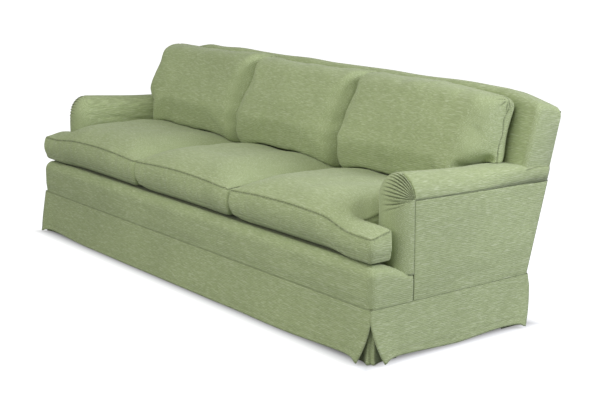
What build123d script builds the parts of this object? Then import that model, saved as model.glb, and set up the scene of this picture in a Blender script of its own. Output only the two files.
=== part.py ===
from build123d import *
import math
import os

# Three-seat upholstered sofa: origin on the floor under its middle, +X along its length,
# the front towards -Y, +Z up. All sizes in millimetres.

# Body: the upholstered box above the skirt
body_length = 2370
body_depth = 741
skirt_seam = 190
platform_top = 337
platform_return = 183
platform_round = 34
platform_corner = 22
cloth = 3
ease = 0.6
touch = 0.3

# Back: leans to the rear, with sloped shoulders
back_lean = 15.8
back_rise = 658
back_thickness = 130
back_foot = 128
shoulder_run = 189
shoulder_drop = 42
shoulder_round = 42
back_round = 34

# Arms: rounded over the top, with a round nose
arm_width = 145
arm_overhang = 2
arm_top_front = 627
arm_top_rear = 590
arm_roll = 82
arm_nose = 112
arm_nose_depth = 72
arm_nose_drop = 84
arm_foot = 228
arm_seam_front = 541
arm_seam_rear = 522

# Timber of the frame
rail_thickness = 32
rail_bottom = 110
rail_height = 115
stretcher_width = 32
stretcher_height = 60
stretcher_lift = 20
arm_post_width = 55
arm_post_depth = 45
arm_rail_width = 75
arm_rail_thickness = 30
arm_padding = 32
arm_wall = 15
tack_rail_width = 30
tack_rail_height = 40
tack_rail_bottom = 268
back_timber = 42
back_post_width = 45
back_post_inset = 20
top_rail_height = 86
top_rail_inset = 13
back_tack_low = 150
back_tack_height = 50
back_tack_thickness = 32
block_leg = 110
block_height = 80

# Legs, glides and fasteners
leg_inset = 32
leg_top_radius = 33
leg_foot_radius = 22
leg_collar = 25
middle_leg_radius = 16
middle_leg_foot_radius = 13
glide_radius = 12
glide_height = 5
bolt_radius = 4
bolt_drop = 55
bolt_rise = 40
screw_radius = 2.5
screw_head_radius = 5
screw_head_height = 4
screw_bite = 20
screw_place = 75
screw_level = 150

# Suspension
web_width = 50
web_thickness = 2
spring_rows = (150, 345, 540)
spring_spacing = 215
spring_radius = 43
spring_wire = 2
spring_turns = 4.5
spring_stand_off = 0.9
twine = 3
twine_overlap = 8
twine_level = 300
hessian = 1.7
deck_rear_gap = 8
edge_roll_depth = 92
edge_return = 82
back_web_levels = (215, 290, 440, 510)
back_web_columns = (0, 217, 478, 694, 910)

# Skirt
skirt_overlap = 8
skirt_hem = 14
skirt_flare = 28
skirt_belly_fall = 5
skirt_belly_end = 330
skirt_dip = 8
skirt_dip_place = 140
skirt_tip_flare = 35
skirt_tip_place = 6
pleat_reach = 120
pleat_hem = 16
dust_cover = 1.7

# Seat cushions
cushion_gap = 1.5
arm_gap = 4
seat_overhang = 9
seat_depth = 645
seat_edge = 455
seat_ear_edge = 441
seat_crown = 508
seat_turn_up = 14
seat_turn_in = 32
seat_draw = 7
seat_front_draw = 4
ear_depth = 98

# Back cushions
back_cushion_low = 232
back_cushion_height = 396
back_cushion_edge = 125
back_cushion_swell = 213
back_cushion_foot = 168
back_cushion_seam = 62
back_cushion_shoulder = 170
back_cushion_fall = 98
back_cushion_belly = 92
back_cushion_turn = 25
back_cushion_side_turn = 30
back_cushion_draw = 9
back_cushion_reach = 62
back_cushion_notch = 404

# Worked out from the sizes above
half_length = body_length / 2
inner_half = half_length - cloth
seats = 3
lean_sine = math.sin(math.radians(back_lean))
lean_cosine = math.cos(math.radians(back_lean))
rear_reach = body_depth + back_rise * lean_sine
front_y = skirt_tip_flare / 2 - rear_reach / 2
rear_y = front_y + body_depth
rail_top = rail_bottom + rail_height
arm_inside = half_length + arm_overhang - arm_width
arm_outside = half_length + arm_overhang
arm_middle = (arm_inside + arm_outside) / 2
seat_width = 2 * arm_inside / seats
seat_middles = [(number - (seats - 1) / 2) * seat_width for number in range(seats)]
seat_joint = seat_width / 2
frame_front = front_y + cloth
frame_rear = rear_y - cloth
side_rail_inside = inner_half - rail_thickness
back_frame_front = cloth + back_timber
back_web_front = back_frame_front + 2 * web_thickness
back_pad_rear = back_web_front + touch + hessian + touch


def outline(points, bows):
    # closed face through the points; a bow swings the middle of a side to the left of its run
    edges = []
    for number, start in enumerate(points):
        end = points[(number + 1) % len(points)]
        bow = bows.get(number, 0)
        if bow == 0:
            edges.append(Line(start, end))
        else:
            run = math.dist(start, end)
            middle_u = (start[0] + end[0]) / 2 - bow * (end[1] - start[1]) / run
            middle_v = (start[1] + end[1]) / 2 + bow * (end[0] - start[0]) / run
            edges.append(ThreePointArc(start, (middle_u, middle_v), end))
    return make_face(edges)


def prism(plane, face, low, high):
    return extrude(plane.offset(low) * face, amount=high - low, dir=plane.z_dir)


def block(left, right, front, rear, low, high):
    size = (right - left, rear - front, high - low)
    return Pos(left, front, low) * Box(*size, align=(Align.MIN, Align.MIN, Align.MIN))


def rod(radius, start, end):
    # round bar between two points
    axis = Vector(*end) - Vector(*start)
    plane = Plane(origin=start, z_dir=axis)
    return extrude(plane * Circle(radius), amount=axis.length, dir=axis.normalized())


def both_sides(right):
    return mirror(right, about=Plane.YZ), right


# Planes: seen from above, from the front, from the side, and along the leaning back
plan = Plane.XY
facing = Plane(origin=(0, 0, 0), x_dir=(1, 0, 0), z_dir=(0, -1, 0))
side = Plane.YZ
back_origin = (0, rear_y, skirt_seam)
back_up = (0, lean_sine, lean_cosine)
back_out = (0, -lean_cosine, lean_sine)
back_face = Plane(origin=back_origin, x_dir=(1, 0, 0), z_dir=back_out)
back_side = Plane(origin=back_origin, x_dir=back_up, z_dir=(1, 0, 0))
back_plan = Plane(origin=back_origin, x_dir=(1, 0, 0), z_dir=(0, -lean_sine, -lean_cosine))


def back_y(level, out):
    # Y on a plane parallel to the outside back, at a height above the floor
    rise = (level - skirt_seam - out * lean_sine) / lean_cosine
    return rear_y + rise * lean_sine - out * lean_cosine


def make_seat_rails():
    front = block(-inner_half, inner_half, frame_front, frame_front + rail_thickness,
                  rail_bottom, rail_top)
    corners = front.edges().filter_by(Axis.Z).sort_by(Axis.Y)[:2]
    front = fillet(corners, platform_corner - cloth)
    rear = block(-inner_half, inner_half, frame_rear - rail_thickness, frame_rear,
                 rail_bottom, rail_top)
    right = block(side_rail_inside, inner_half, frame_front + rail_thickness,
                  frame_rear - rail_thickness, rail_bottom, rail_top)
    left, right = both_sides(right)
    return front, rear, left, right


def make_stretchers():
    low = rail_bottom + stretcher_lift
    pieces = []
    for middle in (-seat_joint, seat_joint):
        pieces.append(block(middle - stretcher_width / 2, middle + stretcher_width / 2,
                            frame_front + rail_thickness, frame_rear - rail_thickness,
                            low, low + stretcher_height))
    return Compound(pieces)


def arm_rail_level(y):
    # underside of the sloping arm rail
    slope = (arm_top_front - arm_top_rear) / body_depth
    top = arm_top_front - arm_padding - slope * (y - front_y - platform_return)
    return top - arm_rail_thickness


arm_post_front = front_y + platform_return + cloth
arm_post_rear = arm_post_front + arm_post_depth


def make_arm_posts():
    points = [(arm_post_front, rail_top), (arm_post_rear, rail_top),
              (arm_post_rear, arm_rail_level(arm_post_rear)),
              (arm_post_front, arm_rail_level(arm_post_front))]
    post = prism(side, outline(points, {}), inner_half - arm_post_width, inner_half)
    return Compound(list(both_sides(post)))


def arm_rail_end(lift):
    # where the sloping rail meets the front of the leaning back post
    def miss(y):
        return back_y(arm_rail_level(y) + lift, back_frame_front) - y

    return front_y + (rear_y - front_y) * miss(front_y) / (miss(front_y) - miss(rear_y))


def arm_rail_shape(grow):
    # the sloping rail under the arm's top
    front = arm_post_front - grow
    rear_low = arm_rail_end(0)
    rear_high = arm_rail_end(arm_rail_thickness)
    points = [(front, arm_rail_level(front) - grow),
              (rear_low, arm_rail_level(rear_low) - grow),
              (rear_high, arm_rail_level(rear_high) + arm_rail_thickness + grow),
              (front, arm_rail_level(front) + arm_rail_thickness + grow)]
    left = arm_middle - arm_rail_width / 2 - grow
    return prism(side, outline(points, {}), left, left + arm_rail_width + 2 * grow)


def make_arm_tack_rails():
    top = tack_rail_bottom + tack_rail_height
    points = [(arm_post_rear, tack_rail_bottom),
              (back_y(tack_rail_bottom, back_frame_front), tack_rail_bottom),
              (back_y(top, back_frame_front), top), (arm_post_rear, top)]
    left = inner_half - arm_post_width
    rail = prism(side, outline(points, {}), left, left + tack_rail_width)
    return Compound(list(both_sides(rail)))


def top_rail_points(grow):
    # the top rail follows the shoulders; its underside is straight
    half = inner_half - top_rail_inset + grow
    high = back_rise - cloth - top_rail_inset + grow
    bend = half_length - shoulder_run
    return half, high, bend


post_top = back_rise - cloth - top_rail_inset - top_rail_height


def make_back_posts():
    def post(left, right):
        out_low = cloth + touch
        points = [(back_y(rail_top, out_low), rail_top), (back_y(rail_top, back_frame_front), rail_top)]
        for out in (back_frame_front, out_low):
            points.append((rear_y + post_top * lean_sine - out * lean_cosine,
                           skirt_seam + post_top * lean_cosine + out * lean_sine))
        return prism(side, outline(points, {}), left, right)

    outer = inner_half - back_post_inset
    ends = both_sides(post(outer - back_post_width, outer))
    uprights = [post(middle - back_post_width / 2, middle + back_post_width / 2)
                for middle in (-seat_joint, seat_joint)]
    return Compound(list(ends)), Compound(uprights)


def make_back_top_rail():
    half, high, bend = top_rail_points(0)
    points = [(-half, post_top), (half, post_top), (half, high - shoulder_drop), (bend, high),
              (-bend, high), (-half, high - shoulder_drop)]
    return prism(back_face, outline(points, {}), cloth + touch, back_frame_front)


def make_back_tack_rail():
    outer = inner_half - back_post_inset - back_post_width
    spans = [(-outer, -seat_joint - back_post_width / 2),
             (-seat_joint + back_post_width / 2, seat_joint - back_post_width / 2),
             (seat_joint + back_post_width / 2, outer)]
    pieces = []
    for left, right in spans:
        points = [(left, back_tack_low), (right, back_tack_low),
                  (right, back_tack_low + back_tack_height), (left, back_tack_low + back_tack_height)]
        pieces.append(prism(back_face, outline(points, {}),
                            back_frame_front - back_tack_thickness, back_frame_front))
    return Compound(pieces)


# Corners inside the rails, as (x, y, way to the middle in x, way to the middle in y)
rail_corners = []
for way_x in (-1, 1):
    rail_corners.append((way_x * side_rail_inside, frame_front + rail_thickness, -way_x, 1))
    rail_corners.append((way_x * side_rail_inside, frame_rear - rail_thickness, -way_x, -1))
leg_names = ("front_left_leg", "rear_left_leg", "front_right_leg", "rear_right_leg")
leg_places = [(x + toward_x * leg_inset, y + toward_y * leg_inset)
              for x, y, toward_x, toward_y in rail_corners]
middle_leg_places = [(x, y) for x in (-seat_joint, seat_joint)
                     for y in (frame_front + rail_thickness / 2, frame_rear - rail_thickness / 2)]


def make_bolts():
    pieces = []
    for x, y in leg_places + middle_leg_places:
        pieces.append(rod(bolt_radius, (x, y, rail_bottom - bolt_drop), (x, y, rail_bottom + bolt_rise)))
    return pieces


def make_block_screws():
    # two screws a block, one into each rail, with the head let into the sloping face
    pieces = []
    for x, y, toward_x, toward_y in rail_corners:
        face = block_leg - screw_place
        along_y = x + toward_x * screw_place
        along_x = y + toward_y * screw_place
        head = face - screw_head_height
        to_y = rod(screw_radius, (along_y, y - toward_y * screw_bite, screw_level),
                   (along_y, y + toward_y * head, screw_level))
        to_y += rod(screw_head_radius, (along_y, y + toward_y * head, screw_level),
                    (along_y, y + toward_y * face, screw_level))
        to_x = rod(screw_radius, (x - toward_x * screw_bite, along_x, screw_level),
                   (x + toward_x * head, along_x, screw_level))
        to_x += rod(screw_head_radius, (x + toward_x * head, along_x, screw_level),
                    (x + toward_x * face, along_x, screw_level))
        pieces += [to_y, to_x]
    return pieces


def drill(piece, fasteners):
    for fastener in fasteners:
        piece -= fastener
    return piece


def make_corner_blocks(fasteners):
    # the screw heads are sunk by cutting their way out through the sloping face
    pieces = []
    for x, y, toward_x, toward_y in rail_corners:
        points = [(x, y), (x + toward_x * block_leg, y), (x, y + toward_y * block_leg)]
        shape = prism(plan, outline(points, {}), rail_bottom, rail_bottom + block_height)
        pieces.append(drill(shape, fasteners))
    return Compound(pieces)


def make_leg(x, y, top_radius, foot_radius, bolts):
    profile = [(0, glide_height), (foot_radius, glide_height), (top_radius, rail_bottom - leg_collar),
               (top_radius, rail_bottom), (0, rail_bottom)]
    leg = revolve(facing * outline(profile, {}), axis=Axis.Z)
    return drill(Pos(x, y, 0) * leg, bolts)


def make_glides():
    glide = Cylinder(glide_radius, glide_height, align=(Align.CENTER, Align.CENTER, Align.MIN))
    return Compound([Pos(x, y, 0) * glide for x, y in leg_places + middle_leg_places])


spring_columns = [middle + way * spring_spacing for middle in seat_middles for way in (-1, 0, 1)]


def make_seat_webbing():
    # straps under the rails: front to back under each column of springs, then along each row
    pieces = []
    low = rail_bottom - web_thickness
    for middle in spring_columns:
        pieces.append(block(middle - web_width / 2, middle + web_width / 2, frame_front, frame_rear,
                            low, rail_bottom))
    for row in spring_rows:
        middle = front_y + row
        pieces.append(block(-inner_half, inner_half, middle - web_width / 2, middle + web_width / 2,
                            low - web_thickness, low))
    return Compound(pieces)


def make_springs():
    low = rail_bottom + spring_stand_off + spring_wire
    height = twine_level - spring_stand_off - spring_wire - low
    path = Helix(pitch=height / spring_turns, height=height, radius=spring_radius - spring_wire)
    ring = Plane(origin=path @ 0, z_dir=path % 0) * Circle(spring_wire)
    coil = sweep(ring, path=path, is_frenet=True)
    return Compound([Pos(x, front_y + row, low) * coil for x in spring_columns for row in spring_rows])


def make_twine():
    pieces = []
    reach_x = max(spring_columns) + spring_radius + twine_overlap
    reach_y = spring_radius + twine_overlap
    for row in spring_rows:
        middle = front_y + row
        pieces.append(block(-reach_x, reach_x, middle - twine / 2, middle + twine / 2,
                            twine_level, twine_level + twine))
    for x in spring_columns:
        pieces.append(block(x - twine / 2, x + twine / 2, front_y + min(spring_rows) - reach_y,
                            front_y + max(spring_rows) + reach_y,
                            twine_level + twine, twine_level + 2 * twine))
    return Compound(pieces)


hessian_low = twine_level + 2 * twine + touch
deck_low = hessian_low + hessian + touch
deck_front = frame_front + ease + edge_roll_depth + touch
deck_rear = back_y(platform_top, back_thickness) - deck_rear_gap
deck_half = arm_inside - touch
platform_rear = front_y + platform_return


def make_seat_hessian():
    return block(-deck_half, deck_half, deck_front, deck_rear, hessian_low, hessian_low + hessian)


def make_deck_pad():
    return block(-deck_half, deck_half, deck_front, deck_rear, deck_low, platform_top - cloth - touch)


def make_platform_cloth():
    return block(-deck_half, deck_half, platform_rear, deck_rear, platform_top - cloth, platform_top)


def platform_shape(inset):
    # the border under the cushions, round over its top and at its two front corners
    shape = block(-half_length + inset, half_length - inset, front_y + inset, platform_rear,
                  skirt_seam, platform_top - inset)
    corners = shape.edges().filter_by(Axis.Z).sort_by(Axis.Y)[:2]
    shape = fillet(corners, platform_corner - inset)
    rim = [edge for edge in shape.faces().sort_by(Axis.Z)[-1].edges()
           if edge.center().Y < platform_rear - touch]
    return fillet(rim, platform_round - inset)


def make_platform_front():
    return platform_shape(0) - platform_shape(cloth)


def make_front_edge_roll():
    roll = platform_shape(cloth + ease)
    roll -= block(-half_length, half_length, front_y, platform_rear, skirt_seam, rail_top)
    inside = half_length - edge_return
    roll -= block(-inside, inside, deck_front - touch, platform_rear, rail_top, platform_top)
    return roll


def back_shape(inset, foot):
    # the leaning slab: sloped shoulders, its front edge rounded over
    half = inner_half - inset
    high = back_rise - inset
    bend = half_length - shoulder_run
    points = [(-half, foot), (half, foot), (half, high - shoulder_drop), (bend, high),
              (-bend, high), (-half, high - shoulder_drop)]
    face = outline(points, {})
    tops = face.vertices().group_by(Axis.Y)[1:]
    face = fillet([vertex for group in tops for vertex in group], shoulder_round - inset)
    shape = prism(back_face, face, 0, back_thickness - inset)
    front = back_face.offset(back_thickness - inset)
    rim = []
    for edge in shape.edges():
        place = front.to_local_coords(edge.center())
        if abs(place.Z) < touch and place.Y > foot + touch:
            rim.append(edge)
    return fillet(rim, back_round - inset)


def arm_rail_slots(shape):
    for rail in both_sides(arm_rail_shape(touch)):
        shape -= rail
    return shape


def make_back_cover():
    return arm_rail_slots(back_shape(0, back_foot) - back_shape(cloth, 0))


def make_outside_back():
    half = inner_half - cloth
    high = back_rise - cloth
    bend = half_length - shoulder_run
    points = [(-half, 0), (half, 0), (half, high - shoulder_drop), (bend, high),
              (-bend, high), (-half, high - shoulder_drop)]
    face = outline(points, {})
    tops = face.vertices().group_by(Axis.Y)[1:]
    face = fillet([vertex for group in tops for vertex in group], shoulder_round)
    return prism(back_face, face, 0, cloth)


def make_back_padding():
    pad = back_shape(cloth + ease, back_foot)
    half, high, bend = top_rail_points(touch)
    points = [(-half, 0), (half, 0), (half, high - shoulder_drop), (bend, high),
              (-bend, high), (-half, high - shoulder_drop)]
    pad -= prism(back_face, outline(points, {}), 0, back_pad_rear)
    behind = [(-half_length, 0), (half_length, 0), (half_length, back_rise), (-half_length, back_rise)]
    pad -= prism(back_face, outline(behind, {}), 0, cloth + touch)
    return arm_rail_slots(pad)


def make_back_webbing():
    pieces = []
    reach = inner_half - back_post_inset
    for level in back_web_levels:
        points = [(-reach, level), (reach, level), (reach, level + web_width), (-reach, level + web_width)]
        pieces.append(prism(back_face, outline(points, {}), back_frame_front,
                            back_frame_front + web_thickness))
    low = back_tack_low
    high = back_rise - cloth - top_rail_inset - top_rail_height / 2
    columns = sorted({way * column for column in back_web_columns for way in (-1, 1)})
    for middle in columns:
        left = middle - web_width / 2
        points = [(left, low), (left + web_width, low), (left + web_width, high), (left, high)]
        pieces.append(prism(back_face, outline(points, {}), back_frame_front + web_thickness,
                            back_web_front))
    return Compound(pieces)


def make_back_hessian():
    rail_half, high, bend = top_rail_points(0)
    half = arm_middle - arm_rail_width / 2 - 2 * touch
    end = high - shoulder_drop * (half - bend) / (rail_half - bend)
    points = [(-half, back_tack_low), (half, back_tack_low), (half, end), (bend, high),
              (-bend, high), (-half, end)]
    low = back_web_front + touch
    return prism(back_face, outline(points, {}), low, low + hessian)


def arm_shape(inset, rear_out):
    # right arm: a rounded section that falls towards the back, cut to a round nose
    left = arm_inside + inset
    right = arm_outside - inset
    slope = (arm_top_front - arm_top_rear) / body_depth
    start = front_y + arm_nose - arm_nose_depth
    length = rear_y - start

    def section(y):
        top = arm_top_front - slope * (y - front_y - arm_nose - arm_nose_drop) - inset
        spring = top - arm_roll + inset
        half = (right - left) / 2
        slant = math.sqrt(0.5)
        crown = (arm_middle, top)
        edges = [Line((left, arm_foot), (right, arm_foot)), Line((right, arm_foot), (right, spring)),
                 ThreePointArc((right, spring), (arm_middle + half * slant,
                                                 spring + (top - spring) * slant), crown),
                 ThreePointArc(crown, (arm_middle - half * slant,
                                       spring + (top - spring) * slant), (left, spring)),
                 Line((left, spring), (left, arm_foot))]
        return facing.offset(-y) * make_face(edges)

    body = loft([section(start), section(start + length)], ruled=True)

    nose = front_y + arm_nose + inset
    top = arm_top_front - inset
    foot = platform_top + touch
    post = platform_rear + touch
    low = arm_foot - touch
    fall = arm_nose_drop - inset
    profile = [(nose, foot), (post, foot), (post, low), (back_y(low, rear_out), low),
               (back_y(top, rear_out), top), (nose + fall, top), (nose, top - fall)]
    nose_bow = fall * (1 - math.sqrt(0.5))
    body &= prism(side, outline(profile, {5: -nose_bow}), arm_inside - arm_wall, arm_outside + arm_wall)

    half = (right - left) / 2 + touch
    root = nose + arm_nose_depth - inset
    tip = [(arm_middle + half, root), (arm_middle + half, rear_y + back_thickness),
           (arm_middle - half, rear_y + back_thickness), (arm_middle - half, root)]
    body &= prism(plan, outline(tip, {3: -(arm_nose_depth - inset)}), 0, arm_top_front + arm_roll)
    return body


def outside_arm_points(grow):
    return [(platform_rear - grow, skirt_seam), (rear_y, skirt_seam),
            (back_y(arm_seam_rear + grow, 0), arm_seam_rear + grow),
            (platform_rear - grow, arm_seam_front + grow)]


def make_outside_arm():
    return prism(side, outline(outside_arm_points(0), {}), inner_half, half_length)


def make_arm_cover():
    window = prism(side, outline(outside_arm_points(touch), {}), inner_half - touch,
                   arm_outside + arm_wall)
    rear = back_thickness + touch
    return arm_shape(0, rear) - arm_shape(cloth, rear - cloth) - window


def make_arm_padding():
    # stuffing round the rail and down the inside wall; hollow under the rail
    pad = arm_shape(cloth + ease, back_thickness + touch)
    hollow_left = arm_inside + cloth + ease + arm_wall
    reach = rear_y + back_thickness
    under = [(arm_post_front - touch, rail_bottom), (reach, rail_bottom), (reach, arm_rail_level(reach)),
             (arm_post_front - touch, arm_rail_level(arm_post_front - touch))]
    pad -= prism(side, outline(under, {}), hollow_left, arm_outside + arm_wall)
    pad -= arm_rail_shape(touch)
    pad -= prism(side, outline(outside_arm_points(touch), {}), inner_half - touch, arm_outside + arm_wall)
    return pad


def skirt_panel(place, half):
    # place turns (along the panel, out from the body, height) into a point; the hem waves in and out
    def strip(level, tip, dip, belly, ends, shift):
        outs = [(-ends, tip), (-half + skirt_dip_place, dip), (-half + skirt_belly_end, belly[1]),
                (half - skirt_belly_end, belly[1]), (half - skirt_dip_place, dip), (ends, tip)]
        front = [place(along, out + shift, level) for along, out in outs]
        rear = [place(along, out + shift - cloth, level) for along, out in reversed(outs)]
        arc_out = (tip + dip) / 2 - (tip - dip) / 4
        arc_along = (ends + half - skirt_dip_place) / 2
        bends = {0: (-arc_along, arc_out), 2: (0, belly[0]), 4: (arc_along, arc_out)}
        edges = []
        for run, offset in ((front, 0), (rear, -cloth)):
            for number in range(5):
                if level == skirt_hem and number in bends:
                    along, out = bends[number if offset == 0 else 4 - number]
                    middle = place(along, out + shift + offset, level)
                    edges.append(ThreePointArc(run[number], middle, run[number + 1]))
                else:
                    edges.append(Line(run[number], run[number + 1]))
            edges.append(Line(run[5], (rear if offset == 0 else front)[0]))
        return Face(Wire(edges))

    hem = strip(skirt_hem, skirt_tip_flare, skirt_dip, (skirt_flare, skirt_flare - skirt_belly_fall),
                half - skirt_tip_place, 0)
    top = strip(skirt_seam + skirt_overlap, 0, 0, (0, 0), half, cloth)
    return loft([hem, top], ruled=True)


rear_skirt_y = back_y(skirt_seam + skirt_overlap, 0)
skirt_middle = (front_y + rear_skirt_y) / 2
skirt_half_depth = (rear_skirt_y - front_y) / 2


def make_skirts():
    front = skirt_panel(lambda along, out, level: (along, front_y - out, level), half_length)
    rear = skirt_panel(lambda along, out, level: (along, rear_skirt_y + out, level), half_length)
    right = skirt_panel(lambda along, out, level: (half_length + out, skirt_middle + along, level),
                        skirt_half_depth)
    left, right = both_sides(right)
    return front, rear, left, right


def make_corner_pleats():
    # the strip that closes each kick pleat, bent round the corner behind the two panels
    outer = touch
    inner = cloth - touch
    high = skirt_seam - touch
    pieces = []
    for way_x in (-1, 1):
        for edge_y, way_y in ((front_y, 1), (rear_skirt_y, -1)):
            points = []
            for offset, reach in ((outer, pleat_reach), (inner, pleat_reach)):
                run = [(way_x * (half_length - reach), edge_y + way_y * offset),
                       (way_x * (half_length - offset), edge_y + way_y * offset),
                       (way_x * (half_length - offset), edge_y + way_y * reach)]
                points += run if offset == outer else run[::-1]
            pieces.append(prism(plan, outline(points, {}), pleat_hem, high))
    return Compound(pieces)


def make_dust_cover():
    high = rail_bottom - 2 * web_thickness - touch
    sheet = block(-inner_half, inner_half, frame_front, frame_rear, high - dust_cover, high)
    for places, radius in ((leg_places, leg_top_radius), (middle_leg_places, middle_leg_radius)):
        for x, y in places:
            sheet -= rod(radius + touch, (x, y, 0), (x, y, rail_bottom))
    return sheet


def seat_cushion(left, right, ear, inset):
    # crowned both ways, its sides drawn in between the corners; ear is -1, 0 or 1
    near = front_y - seat_overhang + inset
    far = front_y - seat_overhang + seat_depth - inset
    outer = half_length - inset
    low = platform_top + touch + inset
    left_edge = seat_ear_edge if ear < 0 else seat_edge
    right_edge = seat_ear_edge if ear > 0 else seat_edge
    reach_left = -outer if ear < 0 else left + inset
    reach_right = outer if ear > 0 else right - inset
    ear_y = near + ear_depth - 2 * inset
    points = [(reach_left, near), (reach_right, near)]
    if ear > 0:
        points += [(reach_right, ear_y), (right - inset, ear_y)]
    points += [(right - inset, far), (left + inset, far)]
    if ear < 0:
        points += [(left + inset, ear_y), (reach_left, ear_y)]
    bows = {0: seat_front_draw}
    for number, start in enumerate(points):
        end = points[(number + 1) % len(points)]
        if number > 0 and math.dist(start, end) > 2 * ear_depth:
            bows[number] = seat_draw
    shape = prism(plan, outline(points, bows), low, seat_crown + cloth)

    across = [(reach_left, low + seat_turn_up), (reach_left + seat_turn_in, low),
              (reach_right - seat_turn_in, low), (reach_right, low + seat_turn_up),
              (reach_right, right_edge - inset), (reach_left, left_edge - inset)]
    rise = seat_crown - (left_edge + right_edge) / 2
    shape &= prism(facing, outline(across, {4: -rise}), -far, -near)

    along = [(near, low + seat_turn_up), (near + seat_turn_in, low), (far - seat_turn_in, low),
             (far, low + seat_turn_up), (far, seat_edge - inset), (near, seat_edge - inset)]
    shape &= prism(side, outline(along, {4: -(seat_crown - seat_edge)}), -half_length, half_length)
    return shape


def back_cushion(left, right, ear, inset):
    # the same forms on the leaning plane; the end cushions reach out over the arm
    low = back_cushion_low + inset
    high = back_cushion_low + back_cushion_height - inset
    rear = back_thickness + touch + inset
    edge = back_thickness + back_cushion_edge - inset
    swell = back_thickness + back_cushion_swell - inset
    outer = arm_inside + back_cushion_reach - inset
    notch = back_cushion_notch + inset
    reach_left = -outer if ear < 0 else left + inset
    reach_right = outer if ear > 0 else right - inset
    points = [(left + inset, low), (right - inset, low)]
    if ear > 0:
        points += [(right - inset, notch), (reach_right, notch)]
    points += [(reach_right, high), (reach_left, high)]
    if ear < 0:
        points += [(reach_left, notch), (left + inset, notch)]
    bows = {}
    for number, start in enumerate(points):
        end = points[(number + 1) % len(points)]
        if math.dist(start, end) > back_cushion_edge:
            bows[number] = back_cushion_draw
    shape = prism(back_face, outline(points, bows), rear, swell + cloth)

    turn = back_cushion_side_turn
    across = [(reach_left + turn, rear), (reach_right - turn, rear), (reach_right, rear + turn),
              (reach_right, edge), (reach_left, edge), (reach_left, rear + turn)]
    shape &= prism(back_plan, outline(across, {3: -(swell - edge)}), -high, -low)

    # from the side: flat against the back, round over the top, fullest low down
    upright = [(low, rear), (high - back_cushion_turn, rear),
               (high, back_thickness + back_cushion_seam),
               (high - back_cushion_fall, back_thickness + back_cushion_shoulder - inset),
               (low + back_cushion_belly, swell), (low, back_thickness + back_cushion_foot - inset)]
    rounds = {1: -back_cushion_turn / 4, 2: -back_cushion_turn, 3: -back_cushion_turn / 2,
              4: -back_cushion_turn / 2}
    shape &= prism(back_side, outline(upright, rounds), -half_length, half_length)
    return shape


def make_cushions():
    pieces = {}
    for number, name in enumerate(("left", "middle", "right")):
        ear = number - 1
        left = seat_middles[number] - seat_width / 2 + (arm_gap if ear < 0 else cushion_gap)
        right = seat_middles[number] + seat_width / 2 - (arm_gap if ear > 0 else cushion_gap)
        for place, shape in (("seat", seat_cushion), ("back", back_cushion)):
            outside = shape(left, right, ear, 0)
            pieces[f"{name}_{place}_cushion"] = outside - shape(left, right, ear, cloth)
            pieces[f"{name}_{place}_fill"] = shape(left, right, ear, cloth + ease)
    return pieces


def make_all():
    bolts = make_bolts()
    screws = make_block_screws()
    front_rail, rear_rail, left_rail, right_rail = make_seat_rails()
    nodes = {
        "front_rail": drill(front_rail, bolts + screws),
        "rear_rail": drill(rear_rail, bolts + screws),
        "left_side_rail": drill(left_rail, screws),
        "right_side_rail": drill(right_rail, screws),
        "seat_stretchers": make_stretchers(),
        "arm_posts": make_arm_posts(),
        "arm_rails": Compound(list(both_sides(arm_rail_shape(0)))),
        "arm_tack_rails": make_arm_tack_rails(),
        "back_top_rail": make_back_top_rail(),
        "back_tack_rail": make_back_tack_rail(),
        "corner_blocks": make_corner_blocks(bolts + screws),
        "glides": make_glides(),
        "leg_bolts": Compound(bolts),
        "block_screws": Compound(screws),
        "seat_webbing": make_seat_webbing(),
        "seat_springs": make_springs(),
        "lashing_twine": make_twine(),
        "seat_hessian": make_seat_hessian(),
        "front_edge_roll": make_front_edge_roll(),
        "deck_pad": make_deck_pad(),
        "platform_cloth": make_platform_cloth(),
        "platform_front": make_platform_front(),
        "back_webbing": make_back_webbing(),
        "back_hessian": make_back_hessian(),
        "back_padding": make_back_padding(),
        "back_cover": make_back_cover(),
        "outside_back": make_outside_back(),
        "corner_pleats": make_corner_pleats(),
        "dust_cover": make_dust_cover(),
    }
    nodes["back_posts"], nodes["back_uprights"] = make_back_posts()
    nodes["left_arm_cover"], nodes["right_arm_cover"] = both_sides(make_arm_cover())
    nodes["left_arm_padding"], nodes["right_arm_padding"] = both_sides(make_arm_padding())
    nodes["left_outside_arm"], nodes["right_outside_arm"] = both_sides(make_outside_arm())
    skirts = make_skirts()
    for name, skirt in zip(("front_skirt", "rear_skirt", "left_skirt", "right_skirt"), skirts):
        nodes[name] = skirt
    for name, (x, y) in zip(leg_names, leg_places):
        nodes[name] = make_leg(x, y, leg_top_radius, leg_foot_radius, bolts)
    nodes["middle_legs"] = Compound([make_leg(x, y, middle_leg_radius, middle_leg_foot_radius, bolts)
                                     for x, y in middle_leg_places])
    nodes.update(make_cushions())
    return nodes


os.makedirs("parts", exist_ok=True)
for node_name, shape in make_all().items():
    export_step(shape, f"parts/{node_name}.step")
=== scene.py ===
import bpy
import math
import numpy as np
from mathutils import Matrix, Vector
from mathutils.bvhtree import BVHTree
from mathutils.geometry import delaunay_2d_cdt
from mathutils.kdtree import KDTree


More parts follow.
